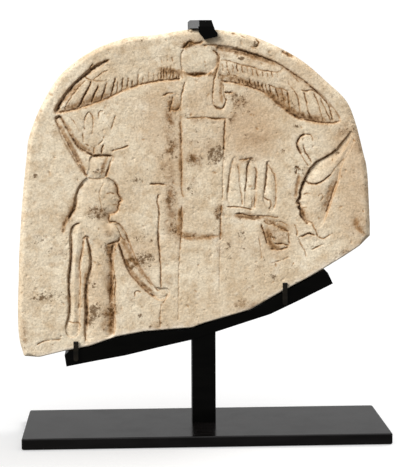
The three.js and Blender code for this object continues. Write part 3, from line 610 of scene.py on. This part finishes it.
def resample(path, step):
    """The closed path cut into even steps."""
    ring = np.vstack([path, path[:1]])
    s = lengths_along(ring)
    even = np.linspace(0, s[-1], int(s[-1] / step), endpoint=False)
    return np.column_stack([np.interp(even, s, ring[:, 0]), np.interp(even, s, ring[:, 1])])


def blur_ring(values, times):
    """Values round a ring, each averaged with its neighbours several times."""
    for _ in range(times):
        values = (np.roll(values, 1, axis=0) + 2 * values + np.roll(values, -1, axis=0)) / 4
    return values


# ---------------------------------------------------------------------- carve the face

# Figures in sunk relief: outline, how deep its edge is cut, how far down the body's
# middle lies, how wide the slope between them is, dirt along the edge.
BODIES = (
    (LEFT_WING_BODY, 1.5, 0.3, 6.0, 0.35),
    (LEFT_WING_RIM, 2.6, 0.5, 4.0, 0.4),
    (RIGHT_WING_BODY, 1.6, 0.4, 6.0, 0.4),
    (DISC_EDGE, 1.8, -0.5, 7.0, 0.15),
    (GODDESS_FIGURE, 2.8, 0.2, 5.0, 0.25),
    (BACK_ARM, 2.8, 0.0, 4.5, 0.25),
    (FORWARD_ARM, 2.8, 0.0, 4.5, 0.25),
    (MODIUS, 1.8, 0.3, 3.5, 0.25),
    (BACK_HORN, 1.8, 0.2, 3.0, 0.35),
    *((loaf, 1.3, 0.0, 3.5, 0.25) for loaf in LOAVES),
    (KING_HEAD, 2.8, 0.1, 5.5, 0.25),
)
LINES = (LEFT_WING, RIGHT_WING, DISC, FRAME, GODDESS_CROWN, GODDESS, STAFF, TABLE, KING, LOSSES,
         GODDESS_FACE, KING_FACE, SOFT_HOLLOWS_DIRT_AND_SHADE)


def carve_bodies():
    """Sinks every figure into the face."""
    for body in BODIES:
        sunk(*body)


def carve_lines():
    """Cuts every chisel line, then the rows of feathers."""
    for group in LINES:
        for points, width, depth, dirt_shade in group:
            cut(points, width, depth, dirt_shade)
    for row in FEATHER_ROWS:
        feather_row(*row)


def scatter_pits():
    """Small pits all over the face."""
    for _ in range(PITS):
        x, z = rng.uniform(-190, 172), rng.uniform(90, 412)
        pit(x, z, rng.uniform(0.7, 1.8), rng.uniform(0.15, 0.6), rng.uniform(0.0, 0.5),
            rng.uniform(1, 2.2), rng.uniform(0, math.pi))


depth_map = np.zeros_like(X)        # how far the carving lies behind the face
line_map = np.zeros_like(X)         # chisel lines
loss_map = np.zeros_like(X)         # chips and pits
# This map also takes painted shade: brown on the steep walls of the carving and in the broad shallow
# hollows.
dirt_shade_map = np.zeros_like(X)         # 0 clean, 1 a cut full of brown dirt
wobble = cloud(X, Z, 14.0, 5)
quiver = cloud(X, Z, 3.6, 7, 2)

carve_bodies()
carve_lines()
scatter_pits()

relief = np.maximum(depth_map, line_map) + 0.6 * np.minimum(np.maximum(depth_map, 0), line_map)
relief += loss_map
# Painted shade: the steep walls of cuts and figures are browned as if shadowed, on top of the dirt in the
# cuts.
steep = np.hypot(*np.gradient(relief, GRID))
dirt_shade_map = np.maximum(dirt_shade_map, 0.42 * smooth((steep - 0.3) / 0.8))
relief += 0.55 * cloud(X, Z, 70.0, 11, 2) + 0.35 * cloud(X, Z, 16.0, 23, 3)

# --------------------------------------------------------------------- the stone's mesh

def front_border(outline):
    """Distance in from the outline, and how deep the front's rounded edge drops there."""
    far = distance_map(np.vstack([outline, outline[:1]]))
    to_break = distance_map(curve(LOWER_BREAK[1:-1], 3.0))
    on_arch = smooth((to_break - far) / 8.0)
    radius = (BREAK_ROUND + ARCH_ROUND * on_arch) * (1.0 + 0.35 * cloud(X, Z, 22.0, 41, 3))
    t = np.clip(1.0 - (far - EDGE_INSET) / radius, 0.0, 1.0)
    return far, 0.6 * radius * t ** 2.3


ring = resample(stone_outline, SIDE_STEP / 2)
ring = blur_ring(ring, 3)
border, border_depth = front_border(ring)
relief += border_depth

within = inside(ring, slice(0, len(zs)), slice(0, len(xs)))
within &= border > EDGE_INSET + 0.45 * GRID
cells = within[:-1, :-1] & within[1:, :-1] & within[:-1, 1:] & within[1:, 1:]


def clean_cells(cells):
    """Drops cells with fewer than two neighbours, so that the border is one simple loop."""
    pad = np.pad(cells, 1)
    count = sum(pad[1 + a:pad.shape[0] - 1 + a, 1 + b:pad.shape[1] - 1 + b].astype(int)
                for a, b in ((0, 1), (1, 0), (0, -1), (-1, 0)))
    return cells & (count >= 2)


for _ in range(4):
    cells = clean_cells(cells)

index = -np.ones(X.shape, int)
corner = np.zeros(X.shape, bool)
corner[:-1, :-1] |= cells
corner[1:, :-1] |= cells
corner[:-1, 1:] |= cells
corner[1:, 1:] |= cells
index[corner] = np.arange(corner.sum())
front_points = np.column_stack([X[corner], FACE + relief[corner], Z[corner]])
quads = np.column_stack([index[:-1, :-1][cells], index[:-1, 1:][cells],
                         index[1:, 1:][cells], index[1:, :-1][cells]])


def border_loop(quads):
    """The front's border vertices in order, counter-clockwise as seen from the front."""
    edges = np.vstack([quads[:, [k, (k + 1) % 4]] for k in range(4)])
    size = int(edges.max()) + 1
    forward = edges[:, 0].astype(np.int64) * size + edges[:, 1]
    backward = edges[:, 1].astype(np.int64) * size + edges[:, 0]
    open_edges = edges[~np.isin(forward, backward)]
    follow = dict(open_edges.tolist())
    start = at = int(open_edges[0, 0])
    loop = [start]
    while (at := follow[at]) != start:
        loop.append(at)
    if len(loop) != len(open_edges):
        raise ValueError("the front's border is not one loop")
    return np.array(loop)


loop = border_loop(quads)
ring_length = lengths_along(np.vstack([ring, ring[:1]]))
ring_total = ring_length[-1]
tangent = blur_ring(np.roll(ring, -1, axis=0) - np.roll(ring, 1, axis=0), 6)
tangent /= np.hypot(*tangent.T)[:, None]
ring_inward = np.column_stack([-tangent[:, 1], tangent[:, 0]])


def on_ring(values, s):
    """Values given round the ring, read at arc lengths s."""
    closed = np.vstack([values, values[:1]])
    return np.column_stack([np.interp(s % ring_total, ring_length, closed[:, k]) for k in (0, 1)])


def places_round_ring(points):
    """Arc lengths of the border points, evened out so that they never run backwards."""
    nearest = np.array([np.argmin(np.hypot(*(ring - p).T)) for p in points])
    s = np.unwrap(ring_length[nearest] / ring_total * 2 * math.pi)
    if s[-1] < s[0]:
        raise ValueError("the border runs the wrong way round")
    steps = np.diff(np.append(s, s[0] + 2 * math.pi))
    for _ in range(30):
        steps = (np.roll(steps, 1) + 2 * steps + np.roll(steps, -1)) / 4
    return (s[0] + np.concatenate([[0], np.cumsum(steps[:-1])])) * ring_total / (2 * math.pi)


place = places_round_ring(front_points[loop][:, [0, 2]])
loop_outline = on_ring(ring, place)
loop_inward = on_ring(ring_inward, place)
loop_inward /= np.hypot(*loop_inward.T)[:, None]
snapped = loop_outline + EDGE_INSET * loop_inward
front_points[loop, 0] = snapped[:, 0]
front_points[loop, 2] = snapped[:, 1]
front_points[loop, 1] = FACE + blur_ring(relief[corner][loop], 2)


def side_rows():
    """Rows of points round the slab's side, from just behind the front to the back."""
    front_y = front_points[loop, 1]
    rows = []
    lower = smooth((loop_inward[:, 1] - 0.35) / 0.3)
    for k in range(1, SIDE_ROWS + 1):
        t = k / SIDE_ROWS
        y = front_y + (STONE_BACK - BACK_ROUND - front_y) * t
        rough = (cloud(place, y, 26.0, 71, 4) + 1.0) * (0.7 + 1.1 * lower)
        hewn = (cloud(place * 0.5, y * 2.0, 15.0, 83, 2) + 1.0) * 0.5 * lower
        fade = smooth((y - front_y) / 5.0)
        front_inset = EDGE_INSET * (1.0 - smooth((y - front_y) / EDGE_TURN) ** 0.7)
        back_inset = 3.0 * smooth((y - (STONE_BACK - 9.0)) / 7.0) ** 2
        inset = front_inset + back_inset + fade * (rough + hewn)
        p = loop_outline + inset[:, None] * loop_inward
        rows.append(np.column_stack([p[:, 0], y, p[:, 1]]))
    return rows


rows_of_side = side_rows()
count_front = len(front_points)
count_loop = len(loop)
side_points = np.vstack(rows_of_side)
side_index = [loop] + [count_front + k * count_loop + np.arange(count_loop)
                       for k in range(SIDE_ROWS)]
side_quads = [np.column_stack([a, b, np.roll(b, -1), np.roll(a, -1)])
              for a, b in zip(side_index[:-1], side_index[1:])]


def back_surface():
    """Plain rough back: points inside the last side row, joined by Delaunay triangles."""
    edge = rows_of_side[-1][:, [0, 2]]
    gx = np.arange(MAP_LEFT, MAP_RIGHT, BACK_GRID)
    gz = np.arange(MAP_LOW, MAP_HIGH, BACK_GRID)
    px, pz = np.meshgrid(gx, gz)
    px = px + BACK_GRID / 2 * (np.arange(len(gz)) % 2)[:, None]
    col = np.clip(((px - MAP_LEFT) / GRID).astype(int), 0, len(xs) - 1)
    row = np.clip(((pz - MAP_LOW) / GRID).astype(int), 0, len(zs) - 1)
    deep = border[row, col]
    stays = within[row, col] & (deep > 5.5)
    px, pz, deep = px[stays], pz[stays], deep[stays]
    edge_drop = BACK_ROUND * np.clip(1.0 - (deep - 5.0) / 9.0, 0.0, 1.0) ** 2
    rough = (cloud(px, pz, 80.0, 91, 2) + 1.0) * 0.6 + (cloud(px, pz, 20.0, 97, 3) + 1.0) * 0.6
    y = STONE_BACK - edge_drop - rough * smooth((deep - 4.0) / 10.0)
    flat = [mathutils.Vector(p) for p in np.vstack([edge, np.column_stack([px, pz])]).tolist()]
    n = len(edge)
    ring_edges = [(i, (i + 1) % n) for i in range(n)]
    _, _, faces, origins, _, _ = mathutils.geometry.delaunay_2d_cdt(
        flat, ring_edges, [], 1, 1e-4)
    return np.column_stack([px, y, pz]), faces, origins


def make_stone_mesh():
    """The front, the sides and the back joined as one closed mesh."""
    back_points, back_faces, origins = back_surface()
    first_back = count_front + len(side_points)
    last_row = side_index[-1]
    number = [last_row[o[0]] if o[0] < count_loop else first_back + o[0] - count_loop
              for o in origins]
    triangles = [[int(number[v]) for v in reversed(face)] for face in back_faces]
    points = np.vstack([front_points, side_points, back_points]) * MM
    faces = quads.tolist() + [q for rows in side_quads for q in rows.tolist()] + triangles
    mesh = bpy.data.meshes.new("stone")
    mesh.from_pydata(points.tolist(), [], faces)
    mesh.update()
    return mesh


def new_object(name, data):
    """Object in the scene that shows the data."""
    made = bpy.data.objects.new(name, data)
    bpy.context.collection.objects.link(made)
    return made


def thin_out(mesh, target):
    """The mesh with flat places simplified until it has about target triangles."""
    raw = new_object("raw_stone", mesh)
    triangles = sum(len(p.vertices) - 2 for p in mesh.polygons)
    modifier = raw.modifiers.new("thin_out", "DECIMATE")
    modifier.ratio = target / triangles
    graph = bpy.context.evaluated_depsgraph_get()
    result = bpy.data.meshes.new_from_object(raw.evaluated_get(graph))
    bpy.data.objects.remove(raw)
    result.name = "stone"
    return result


def sample(values, x, z):
    """The map's values at x, z."""
    u = np.clip((x - MAP_LEFT) / GRID, 0, len(xs) - 1.001)
    v = np.clip((z - MAP_LOW) / GRID, 0, len(zs) - 1.001)
    i, j = u.astype(int), v.astype(int)
    a, b = u - i, v - j
    low = values[j, i] * (1 - a) + values[j, i + 1] * a
    high = values[j + 1, i] * (1 - a) + values[j + 1, i + 1] * a
    return low * (1 - b) + high * b


def blotch(x, z, at, wide, high, ragged):
    """Soft uneven patch, 1 at its middle."""
    far = np.hypot((x - at[0]) / wide, (z - at[1]) / high)
    return smooth(1.35 - 0.9 * far * (1.0 + 0.6 * ragged))


# Stains on the face, the warmer fields of stone and the patches of dark specks:
# place, half width, half height, strength. A few of the brown stains are painted shade.
BROWN_STAINS_AND_SHADE = (
    ((-34, 325), 5, 6, 0.8), ((-35, 298), 6, 10, 0.75), ((-12, 284), 9, 8, 1.0),
    ((-33, 248), 6, 13, 0.7), ((-32, 215), 7, 8, 0.8), ((-20, 207), 11, 4, 0.7),
    ((14, 229), 5, 8, 0.8), ((16, 212), 3, 8, 0.6), ((6, 206), 10, 3, 0.4),
    ((-37, 276), 6, 5, 0.5), ((-24, 270), 3, 16, 0.45), ((-24, 225), 4, 14, 0.5),
    ((33, 345), 9, 9, 0.5), ((29, 328), 6, 6, 0.5), ((52, 305), 14, 6, 0.38),
    ((46, 284), 6, 4, 0.6), ((42, 227), 14, 3, 0.45), ((75, 204), 13, 14, 0.42),
    ((15, 190), 4, 8, 0.4), ((48, 190), 14, 12, 0.22), ((42, 134), 18, 6, 0.45),
    ((-47, 114), 14, 4, 0.4), ((-97, 193), 8, 8, 0.75), ((-97, 166), 6, 6, 0.55),
    ((-98, 131), 6, 8, 0.7), ((-96, 148), 4, 8, 0.6), ((-75, 180), 9, 6, 0.6),
    ((-150, 192), 8, 6, 0.3), ((-153, 177), 6, 4, 0.25), ((-74, 145), 6, 6, 0.4),
    ((-186, 105), 5, 13, 0.45), ((-36, 160), 6, 8, 0.3), ((-106, 229), 8, 7, 0.55),
    ((-15, 401), 7, 4, 0.8), ((-67, 406), 9, 4, 0.3), ((142, 314), 10, 5, 0.45),
    # (161, 214) just below is painted shade on a break slope; (78, 346) on the line after is painted
    # shade along the right wing's lower rim.
    ((158, 297), 7, 10, 0.35), ((163, 252), 7, 8, 0.3), ((161, 214), 7, 14, 0.4),
    ((143, 187), 8, 5, 0.45), ((78, 346), 9, 9, 0.5), ((-112, 346), 16, 4, 0.4),
    ((0, 325), 20, 3, 0.35), ((-168, 333), 4, 12, 0.35), ((-152, 311), 4, 6, 0.35),
    ((58, 175), 5, 5, 0.35), ((18, 392), 9, 5, 0.4), ((55, 388), 16, 4, 0.35),
    ((-32, 344), 8, 7, 0.35), ((-107, 297), 12, 5, 0.3), ((88, 391), 6, 3, 0.6),
    ((-4, 371), 15, 3, 0.9), ((24, 374), 10, 4, 0.4), ((-34, 310), 7, 26, 0.5),
    ((-34, 262), 6, 22, 0.5), ((-33, 225), 6, 22, 0.55), ((-12, 262), 7, 6, 0.4),
    ((4, 300), 12, 8, 0.35), ((-12, 302), 8, 5, 0.35), ((-102, 112), 6, 7, 0.5),
    ((-118, 160), 3, 12, 0.5), ((-97, 210), 8, 4, 0.4), ((-82, 196), 4, 10, 0.4),
    # (84, 338) and (70, 350) just below are painted shade along the right wing's lower rim.
    ((84, 338), 12, 5, 0.6), ((70, 350), 7, 5, 0.5), ((103, 271), 3, 8, 0.5),
    ((101, 229), 4, 5, 0.5), ((-126, 262), 3, 6, 0.3), ((-137, 232), 4, 9, 0.45),
)
TAN_FIELDS = (
    ((45, 318), 32, 32, 0.9), ((-45, 325), 22, 40, 0.55), ((155, 245), 16, 55, 0.6),
    ((150, 285), 22, 34, 0.75), ((48, 372), 50, 20, 0.3), ((100, 370), 30, 20, 0.3),
    ((75, 200), 25, 18, 0.4), ((-105, 150), 14, 50, 0.35), ((-70, 185), 22, 25, 0.45),
    ((35, 200), 20, 12, 0.25), ((-34, 265), 14, 70, 0.5), ((0, 345), 18, 24, 0.45),
    ((-120, 352), 25, 10, 0.25), ((120, 240), 20, 30, 0.25), ((0, 300), 20, 22, 0.3),
    ((-3, 405), 30, 8, 0.35),
)
SPECK_PATCHES = (
    ((12, 289), 9, 10, 0.95), ((-14, 255), 5, 5, 0.8), ((-35, 296), 7, 10, 0.7),
    ((-12, 284), 8, 8, 0.6), ((-33, 246), 6, 14, 0.6), ((-32, 213), 8, 8, 0.7),
    ((35, 342), 11, 14, 0.7), ((28, 327), 5, 5, 0.8), ((14, 229), 6, 9, 0.8),
    ((39, 207), 7, 6, 0.6), ((24, 195), 4, 4, 0.8), ((-98, 192), 8, 9, 0.8),
    ((-98, 131), 7, 9, 0.7), ((-115, 128), 8, 11, 0.9), ((-116, 157), 5, 5, 0.8),
    ((-108, 180), 5, 8, 0.4), ((-75, 179), 10, 8, 0.9), ((-66, 205), 8, 8, 0.65),
    ((-60, 184), 12, 6, 0.9), ((-57, 175), 4, 6, 0.7), ((-164, 146), 15, 6, 0.75),
    ((-170, 204), 9, 5, 0.55), ((-151, 192), 9, 7, 0.45), ((-66, 124), 4, 4, 0.9),
    ((-107, 229), 9, 8, 0.8), ((-68, 265), 5, 4, 0.8), ((-80, 265), 2, 3, 0.8),
    ((-107, 272), 7, 5, 0.8), ((-16, 401), 8, 5, 0.9), ((137, 290), 2, 2, 1.0),
    ((94, 318), 2.5, 2, 1.0), ((80, 293), 2, 2, 1.0), ((95, 274), 4, 5, 0.8),
    ((52, 402), 3, 4, 1.0), ((38, 387), 5, 2.5, 1.0), ((-171, 269), 2, 2, 1.0),
    ((143, 187), 9, 5, 0.6), ((108, 195), 4, 3, 0.7), ((58, 175), 5, 5, 0.6),
    ((70, 165), 4, 4, 0.8), ((90, 175), 3, 3, 0.8), ((26, 184), 3, 4, 0.7),
    ((-55, 200), 5, 8, 0.35), ((-25, 330), 9, 4, 0.5), ((-75, 242), 10, 8, 0.35),
    ((-45, 235), 8, 10, 0.35), ((75, 213), 9, 8, 0.4), ((150, 315), 5, 5, 0.5),
    ((-14, 415), 5, 3, 0.6), ((46, 284), 7, 3, 0.7), ((-43, 288), 3, 3, 0.8),
)


def patches(places, x, z, ragged):
    """The strongest of several blotches at each point."""
    strongest = np.zeros_like(x)
    for at, wide, high, strength in places:
        strongest = np.maximum(strongest, strength * blotch(x, z, at, wide, high, ragged))
    return strongest


def paint_stone(mesh):
    """Stores how dirty and how stained the stone is at each vertex; some of the brown is painted shade,
    and the paler band along the lower break is partly a painted highlight.
    """
    co = np.empty(len(mesh.vertices) * 3)
    mesh.vertices.foreach_get("co", co)
    x, y, z = co.reshape(-1, 3).T / MM
    front = smooth((FACE + 9.0 - y) / 4.0)
    dirt_shade = sample(dirt_shade_map, x, z) * front
    side = (1.0 - front) * (0.12 + 0.16 * np.clip(cloud(x + y, z - y, 18.0, 131, 3), 0, 1))
    ragged = cloud(x, z, 9.0, 151, 4)
    broken = np.min([np.hypot(x - a, z - b) for a, b in curve(LOWER_BREAK[1:-1], 3.0)], axis=0)
    layers = {
        "dirt_shade": dirt_shade + side,
        "brown": front * patches(BROWN_STAINS_AND_SHADE, x, z, 1.2 * ragged),
        "specks": front * patches(SPECK_PATCHES, x, z, ragged),
        "warm": front * patches(TAN_FIELDS, x, z, 0.8 * ragged),
        # Paler band along the lower break: fresh broken stone, and partly a painted highlight on the edge
        # that rounds away downwards.
        "pale_break_and_highlight": front * smooth(1.5 - broken / 3.4 + 0.8 * cloud(x, z, 6.0, 181, 2)),
    }
    for name, values in layers.items():
        layer = mesh.attributes.new(name, "FLOAT", "POINT")
        layer.data.foreach_set("value", np.ascontiguousarray(values, dtype=np.float32))


stone_mesh = thin_out(make_stone_mesh(), STONE_TRIANGLES)
paint_stone(stone_mesh)
stone_mesh.shade_smooth()
stone = new_object("carved_stone", stone_mesh)
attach(stone, "root")
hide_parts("stone")

# --------------------------------------------------------------------------- materials

def srgb(red, green, blue):
    """A colour given as 0 to 255 display values, as the linear values a shader takes."""
    def line(v):
        v = v / 255.0
        return v / 12.92 if v <= 0.04045 else ((v + 0.055) / 1.055) ** 2.4
    return (line(red), line(green), line(blue), 1.0)


def fill(node, values):
    """Sets inputs of a node: another node's output is linked, anything else is a constant."""
    for key, value in values.items():
        if isinstance(value, bpy.types.NodeSocket):
            node.id_data.links.new(value, node.inputs[key])
        else:
            node.inputs[key].default_value = value


class Nodes:
    """Short ways to add nodes to one material."""

    def __init__(self, name):
        self.material = bpy.data.materials.new(name)
        self.material.use_nodes = True
        self.tree = self.material.node_tree

    def add(self, kind, values, output=0, **settings):
        """Output of a new node with these inputs and settings."""
        node = self.tree.nodes.new(kind)
        for key, value in settings.items():
            setattr(node, key, value)
        fill(node, values)
        return node.outputs[output]

    def finish(self, values):
        """The material, with these values on its shader."""
        fill(self.tree.nodes["Principled BSDF"], values)
        return self.material

    def position(self):
        return self.add("ShaderNodeTexCoord", {}, "Object")

    def attribute(self, name):
        return self.add("ShaderNodeAttribute", {}, "Fac", attribute_name=name)

    def noise(self, size, detail=4.0, roughness=0.55, offset=(0, 0, 0)):
        """Noise from 0 to 1 whose lumps are about size millimetres across."""
        place = self.add("ShaderNodeMapping", {"Vector": self.position(), "Location": offset}, "Vector")
        values = {"Vector": place, "Scale": 1000.0 / size, "Detail": detail, "Roughness": roughness}
        return self.add("ShaderNodeTexNoise", values, "Fac")

    def crumbs(self, size, density, offset):
        """Ragged dark crumbs, spreading from rare grains to clumps as density goes to 1."""
        grains = self.noise(size, 5.0, 0.7, offset)
        lifted = self.math("ADD", grains, self.math("MULTIPLY", density, 0.19))
        return self.ramp(lifted, 0.63, 0.74)

    def ramp(self, value, low, high, to_low=0.0, to_high=1.0):
        """Eased step of value, from to_low at low to to_high at high."""
        ends = {"Value": value, "From Min": low, "From Max": high, "To Min": to_low, "To Max": to_high}
        return self.add("ShaderNodeMapRange", ends, "Result", interpolation_type="SMOOTHSTEP")

    def math(self, operation, a, b):
        return self.add("ShaderNodeMath", {0: a, 1: b}, operation=operation)

    def mix(self, amount, a, b, mode="MIX"):
        """Colour a with colour b mixed in; 6, 7 and 2 are the node's colour sockets."""
        values = {"Factor": amount, 6: a, 7: b}
        return self.add("ShaderNodeMix", values, 2, data_type="RGBA", blend_type=mode)

    def grey(self, value):
        values = {"Red": value, "Green": value, "Blue": value}
        return self.add("ShaderNodeCombineColor", values, "Color")

    def bump(self, height, distance, under=None):
        """Bumps up to distance millimetres high, on top of the bumps under them."""
        values = {"Height": height, "Distance": distance * MM, "Strength": 1.0}
        if under is not None:
            values["Normal"] = under
        return self.add("ShaderNodeBump", values, "Normal")


CREAM = srgb(231, 216, 190)
BUFF = srgb(212, 191, 161)
TAN = srgb(186, 157, 120)
PALE = srgb(240, 228, 207)
FRESH_BREAK_AND_HIGHLIGHT = srgb(238, 226, 208)
WARM_TAN = srgb(194, 163, 128)
RUST_AND_SHADE = srgb(136, 96, 54)
LIGHT_DIRT_AND_SHADE = srgb(160, 116, 68)
DARK_DIRT_AND_SHADE = srgb(80, 48, 14)
SPECK = srgb(92, 64, 32)


def limestone():
    """Cream limestone with warmer clouds, brown soiling in the cuts that is also painted shade on steep
    walls and in broad hollows, brown stains of which a few are painted shade, dark specks, and a paler
    band along the lower break that is partly a painted highlight.
    """
    n = Nodes("limestone_weathered")
    clouds = n.ramp(n.noise(60.0, 4.0, 0.6), 0.35, 0.68)
    color = n.mix(clouds, CREAM, BUFF)
    mottle = n.ramp(n.noise(9.0, 5.0, 0.65, (3, 1, 2)), 0.40, 0.72)
    color = n.mix(n.math("MULTIPLY", mottle, 0.55), color, TAN)
    pale = n.ramp(n.noise(15.0, 4.0, 0.6, (7, 5, 1)), 0.52, 0.78)
    color = n.mix(n.math("MULTIPLY", pale, 0.55), color, PALE)
    color = n.mix(n.math("MULTIPLY", n.attribute("warm"), 0.75), color, WARM_TAN)
    grain = n.ramp(n.noise(2.2, 3.0, 0.6, (1, 7, 3)), 0.35, 0.65, 0.87, 1.1)
    color = n.mix(1.0, color, n.grey(grain), "MULTIPLY")
    # Brown stains; a few of them are painted shade on a break slope and along the right wing's lower rim.
    brown = n.attribute("brown")
    ragged = n.noise(7.0, 6.0, 0.75, (2, 9, 4))
    stain_and_shade = n.math("MULTIPLY", brown, n.ramp(ragged, 0.36, 0.62, 0.3, 1.3))
    color = n.mix(n.ramp(stain_and_shade, 0.0, 1.0, 0.0, 0.85), color, RUST_AND_SHADE)
    # Brown in the cuts: dirt, and painted shade on the steep walls and in the broad shallow hollows.
    dirt_shade = n.attribute("dirt_shade")
    broken = n.noise(3.0, 4.0, 0.7, (5, 2, 8))
    dirt_shade_amount = n.math("MULTIPLY", dirt_shade, n.ramp(broken, 0.3, 0.6, 0.5, 1.15))
    color = n.mix(n.ramp(dirt_shade_amount, 0.05, 0.55, 0.0, 0.7), color, LIGHT_DIRT_AND_SHADE)
    color = n.mix(n.ramp(dirt_shade_amount, 0.4, 1.05, 0.0, 0.85), color, DARK_DIRT_AND_SHADE)
    specks = n.math("MAXIMUM", n.attribute("specks"), n.math("MULTIPLY", brown, 0.8))
    crumbs = n.math("MAXIMUM", n.crumbs(2.8, specks, (8, 3, 1)), n.crumbs(5.0, specks, (1, 4, 6)))
    color = n.mix(n.math("MULTIPLY", crumbs, 0.85), color, SPECK)
    # Paler fresh stone along the lower break, partly a painted highlight.
    color = n.mix(n.math("MULTIPLY", n.attribute("pale_break_and_highlight"), 0.6), color, FRESH_BREAK_AND_HIGHLIGHT)
    coarse = n.bump(n.noise(7.0, 6.0, 0.7, (4, 4, 4)), 1.1)
    fine = n.bump(n.noise(2.4, 4.0, 0.6, (6, 1, 3)), 0.35, coarse)
    return n.finish({"Base Color": color, "Roughness": 0.9, "Specular IOR Level": 0.1, "Normal": fine})


def black_steel(name, dark, light, ior):
    """Satin black patinated steel with faint smudges along its length."""
    n = Nodes(name)
    along = n.add("ShaderNodeMapping", {"Vector": n.position(), "Scale": (0.25, 1.0, 1.0)}, "Vector")
    smudge = n.add("ShaderNodeTexNoise", {"Vector": along, "Scale": 90.0, "Detail": 6.0}, "Fac")
    color = n.mix(n.ramp(smudge, 0.35, 0.7), dark, light)
    roughness = n.ramp(n.noise(25.0, 5.0, 0.6, (1, 2, 3)), 0.3, 0.7, 0.12, 0.22)
    grain = n.bump(n.noise(0.8, 3.0), 0.02)
    return n.finish({"Base Color": color, "Roughness": roughness, "IOR": ior, "Normal": grain})


stone_mesh.materials.append(limestone())
satin = black_steel("steel_black_satin", (0.0007, 0.0007, 0.0005, 1), (0.0016, 0.0015, 0.0012, 1), 1.2)
plate = black_steel("steel_plate", (0.002, 0.0016, 0.0014, 1), (0.005, 0.0042, 0.0042, 1), 1.31)
# The prongs' brown tint is a painted reflection of the stone they stand against.
prong = black_steel("steel_prong_brown_reflection", (0.004, 0.003, 0.0015, 1), (0.016, 0.012, 0.007, 1), 1.35)
steel_of = {"base_plate": plate, "prong_left": prong, "prong_right": prong}
for name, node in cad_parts.items():
    if name != "stone":
        for slot in node.material_slots:
            slot.material = steel_of.get(name, satin)

# ---------------------------------------------------------------------- stage and camera

LENS, SENSOR_WIDTH = 131.7, 36.0                            # millimetres
CAMERA_PLACE = (-75.0, -1531.0, 375.0)                      # millimetres
CAMERA_PITCH, CAMERA_YAW, CAMERA_ROLL = 6.21, 2.83, -0.22   # degrees
WHITE = (1, 1, 1, 1)
FLOOR_HALF, FLOOR_DROP = 4.0, 0.0004                        # metres
FLOOR_GLOW = 0.44
ROOM_LOW, ROOM_HIGH = 0.2, 0.6      # light that the object gets from low down and high up
BACKDROP = 1.05                     # what the camera sees of the room

# Suns: which way each one shines, strength, softness in degrees.
SUNS = {
    "key": ((0.8, 0.66, -0.82), 3.75, 26.0),
    "top": ((-0.12, 0.3, -1.0), 0.5, 40.0),
    "back": ((-0.7, -0.4, -0.9), 1.1, 20.0),
}


def make_camera():
    """Camera at its place, with its tilt worked out from pitch, yaw and roll."""
    data = bpy.data.cameras.new("camera")
    camera = new_object("camera", data)
    data.sensor_fit = "HORIZONTAL"
    data.sensor_width = SENSOR_WIDTH
    data.lens = LENS
    data.clip_end = 20.0
    pitch, yaw, roll = (math.radians(a) for a in (CAMERA_PITCH, CAMERA_YAW, CAMERA_ROLL))
    ahead = mathutils.Vector((math.sin(yaw) * math.cos(pitch), math.cos(yaw) * math.cos(pitch),
                              -math.sin(pitch)))
    level = mathutils.Vector((math.cos(yaw), -math.sin(yaw), 0.0))
    above = level.cross(ahead)
    right = level * math.cos(roll) + above * math.sin(roll)
    up = above * math.cos(roll) - level * math.sin(roll)
    matrix = mathutils.Matrix((right, up, -ahead)).transposed().to_4x4()
    matrix.translation = mathutils.Vector(CAMERA_PLACE) * MM
    camera.matrix_world = matrix
    bpy.context.scene.camera = camera


def make_floor():
    """White paper floor, which the object's light doesn't bounce back from."""
    mesh = bpy.data.meshes.new("floor")
    corners = [(x * FLOOR_HALF, y * FLOOR_HALF, 0) for x, y in ((-1, -1), (1, -1), (1, 1), (-1, 1))]
    mesh.from_pydata(corners, [], [(0, 1, 2, 3)])
    floor = new_object("floor", mesh)
    floor.location.z = -FLOOR_DROP
    n = Nodes("floor_paper")
    paper = n.mix(n.noise(300.0), (0.64, 0.64, 0.64, 1), (0.66, 0.66, 0.66, 1))
    floor.visible_diffuse = False
    floor.visible_glossy = False
    mesh.materials.append(n.finish({
        "Base Color": paper, "Roughness": 0.9, "Specular IOR Level": 0.0,
        "Emission Color": WHITE, "Emission Strength": FLOOR_GLOW,
    }))
    floor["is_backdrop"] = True


def make_world():
    """White backdrop all round, whose light on the object is softer than it looks."""
    world = bpy.data.worlds.new("studio")
    bpy.context.scene.world = world
    world.use_nodes = True
    tree = world.node_tree
    room = tree.nodes["Background"]
    direction, axes, height, backdrop, seen, choose = (
        tree.nodes.new("ShaderNode" + kind)
        for kind in ("TexCoord", "SeparateXYZ", "MapRange", "Background", "LightPath", "MixShader"))
    fill(axes, {"Vector": direction.outputs["Generated"]})
    fill(height, {"Value": axes.outputs["Z"], "From Min": -0.3, "From Max": 0.5,
                  "To Min": ROOM_LOW, "To Max": ROOM_HIGH})
    fill(room, {"Strength": height.outputs["Result"], "Color": WHITE})
    fill(backdrop, {"Color": WHITE, "Strength": BACKDROP})
    fill(choose, {"Fac": seen.outputs["Is Camera Ray"], 1: room.outputs["Background"],
                  2: backdrop.outputs["Background"]})
    fill(tree.nodes["World Output"], {"Surface": choose.outputs["Shader"]})


def sun_light(name, towards, strength, softness):
    """Sun that shines along towards."""
    data = bpy.data.lights.new(name, "SUN")
    data.energy = strength
    data.angle = math.radians(softness)
    light = new_object(name, data)
    light.rotation_euler = mathutils.Vector(towards).to_track_quat("-Z", "Y").to_euler()
    return light


def keep_off_floor(light):
    """The light falls on the object alone, as a flag between it and the floor would see to."""
    lit = bpy.data.collections.new("lit_by_" + light.name)
    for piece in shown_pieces():
        lit.objects.link(piece)
    light.light_linking.receiver_collection = lit


make_camera()
make_floor()
make_world()
suns = {name: sun_light(name, *numbers) for name, numbers in SUNS.items()}
keep_off_floor(suns["key"])
bpy.context.scene.view_settings.view_transform = "Standard"
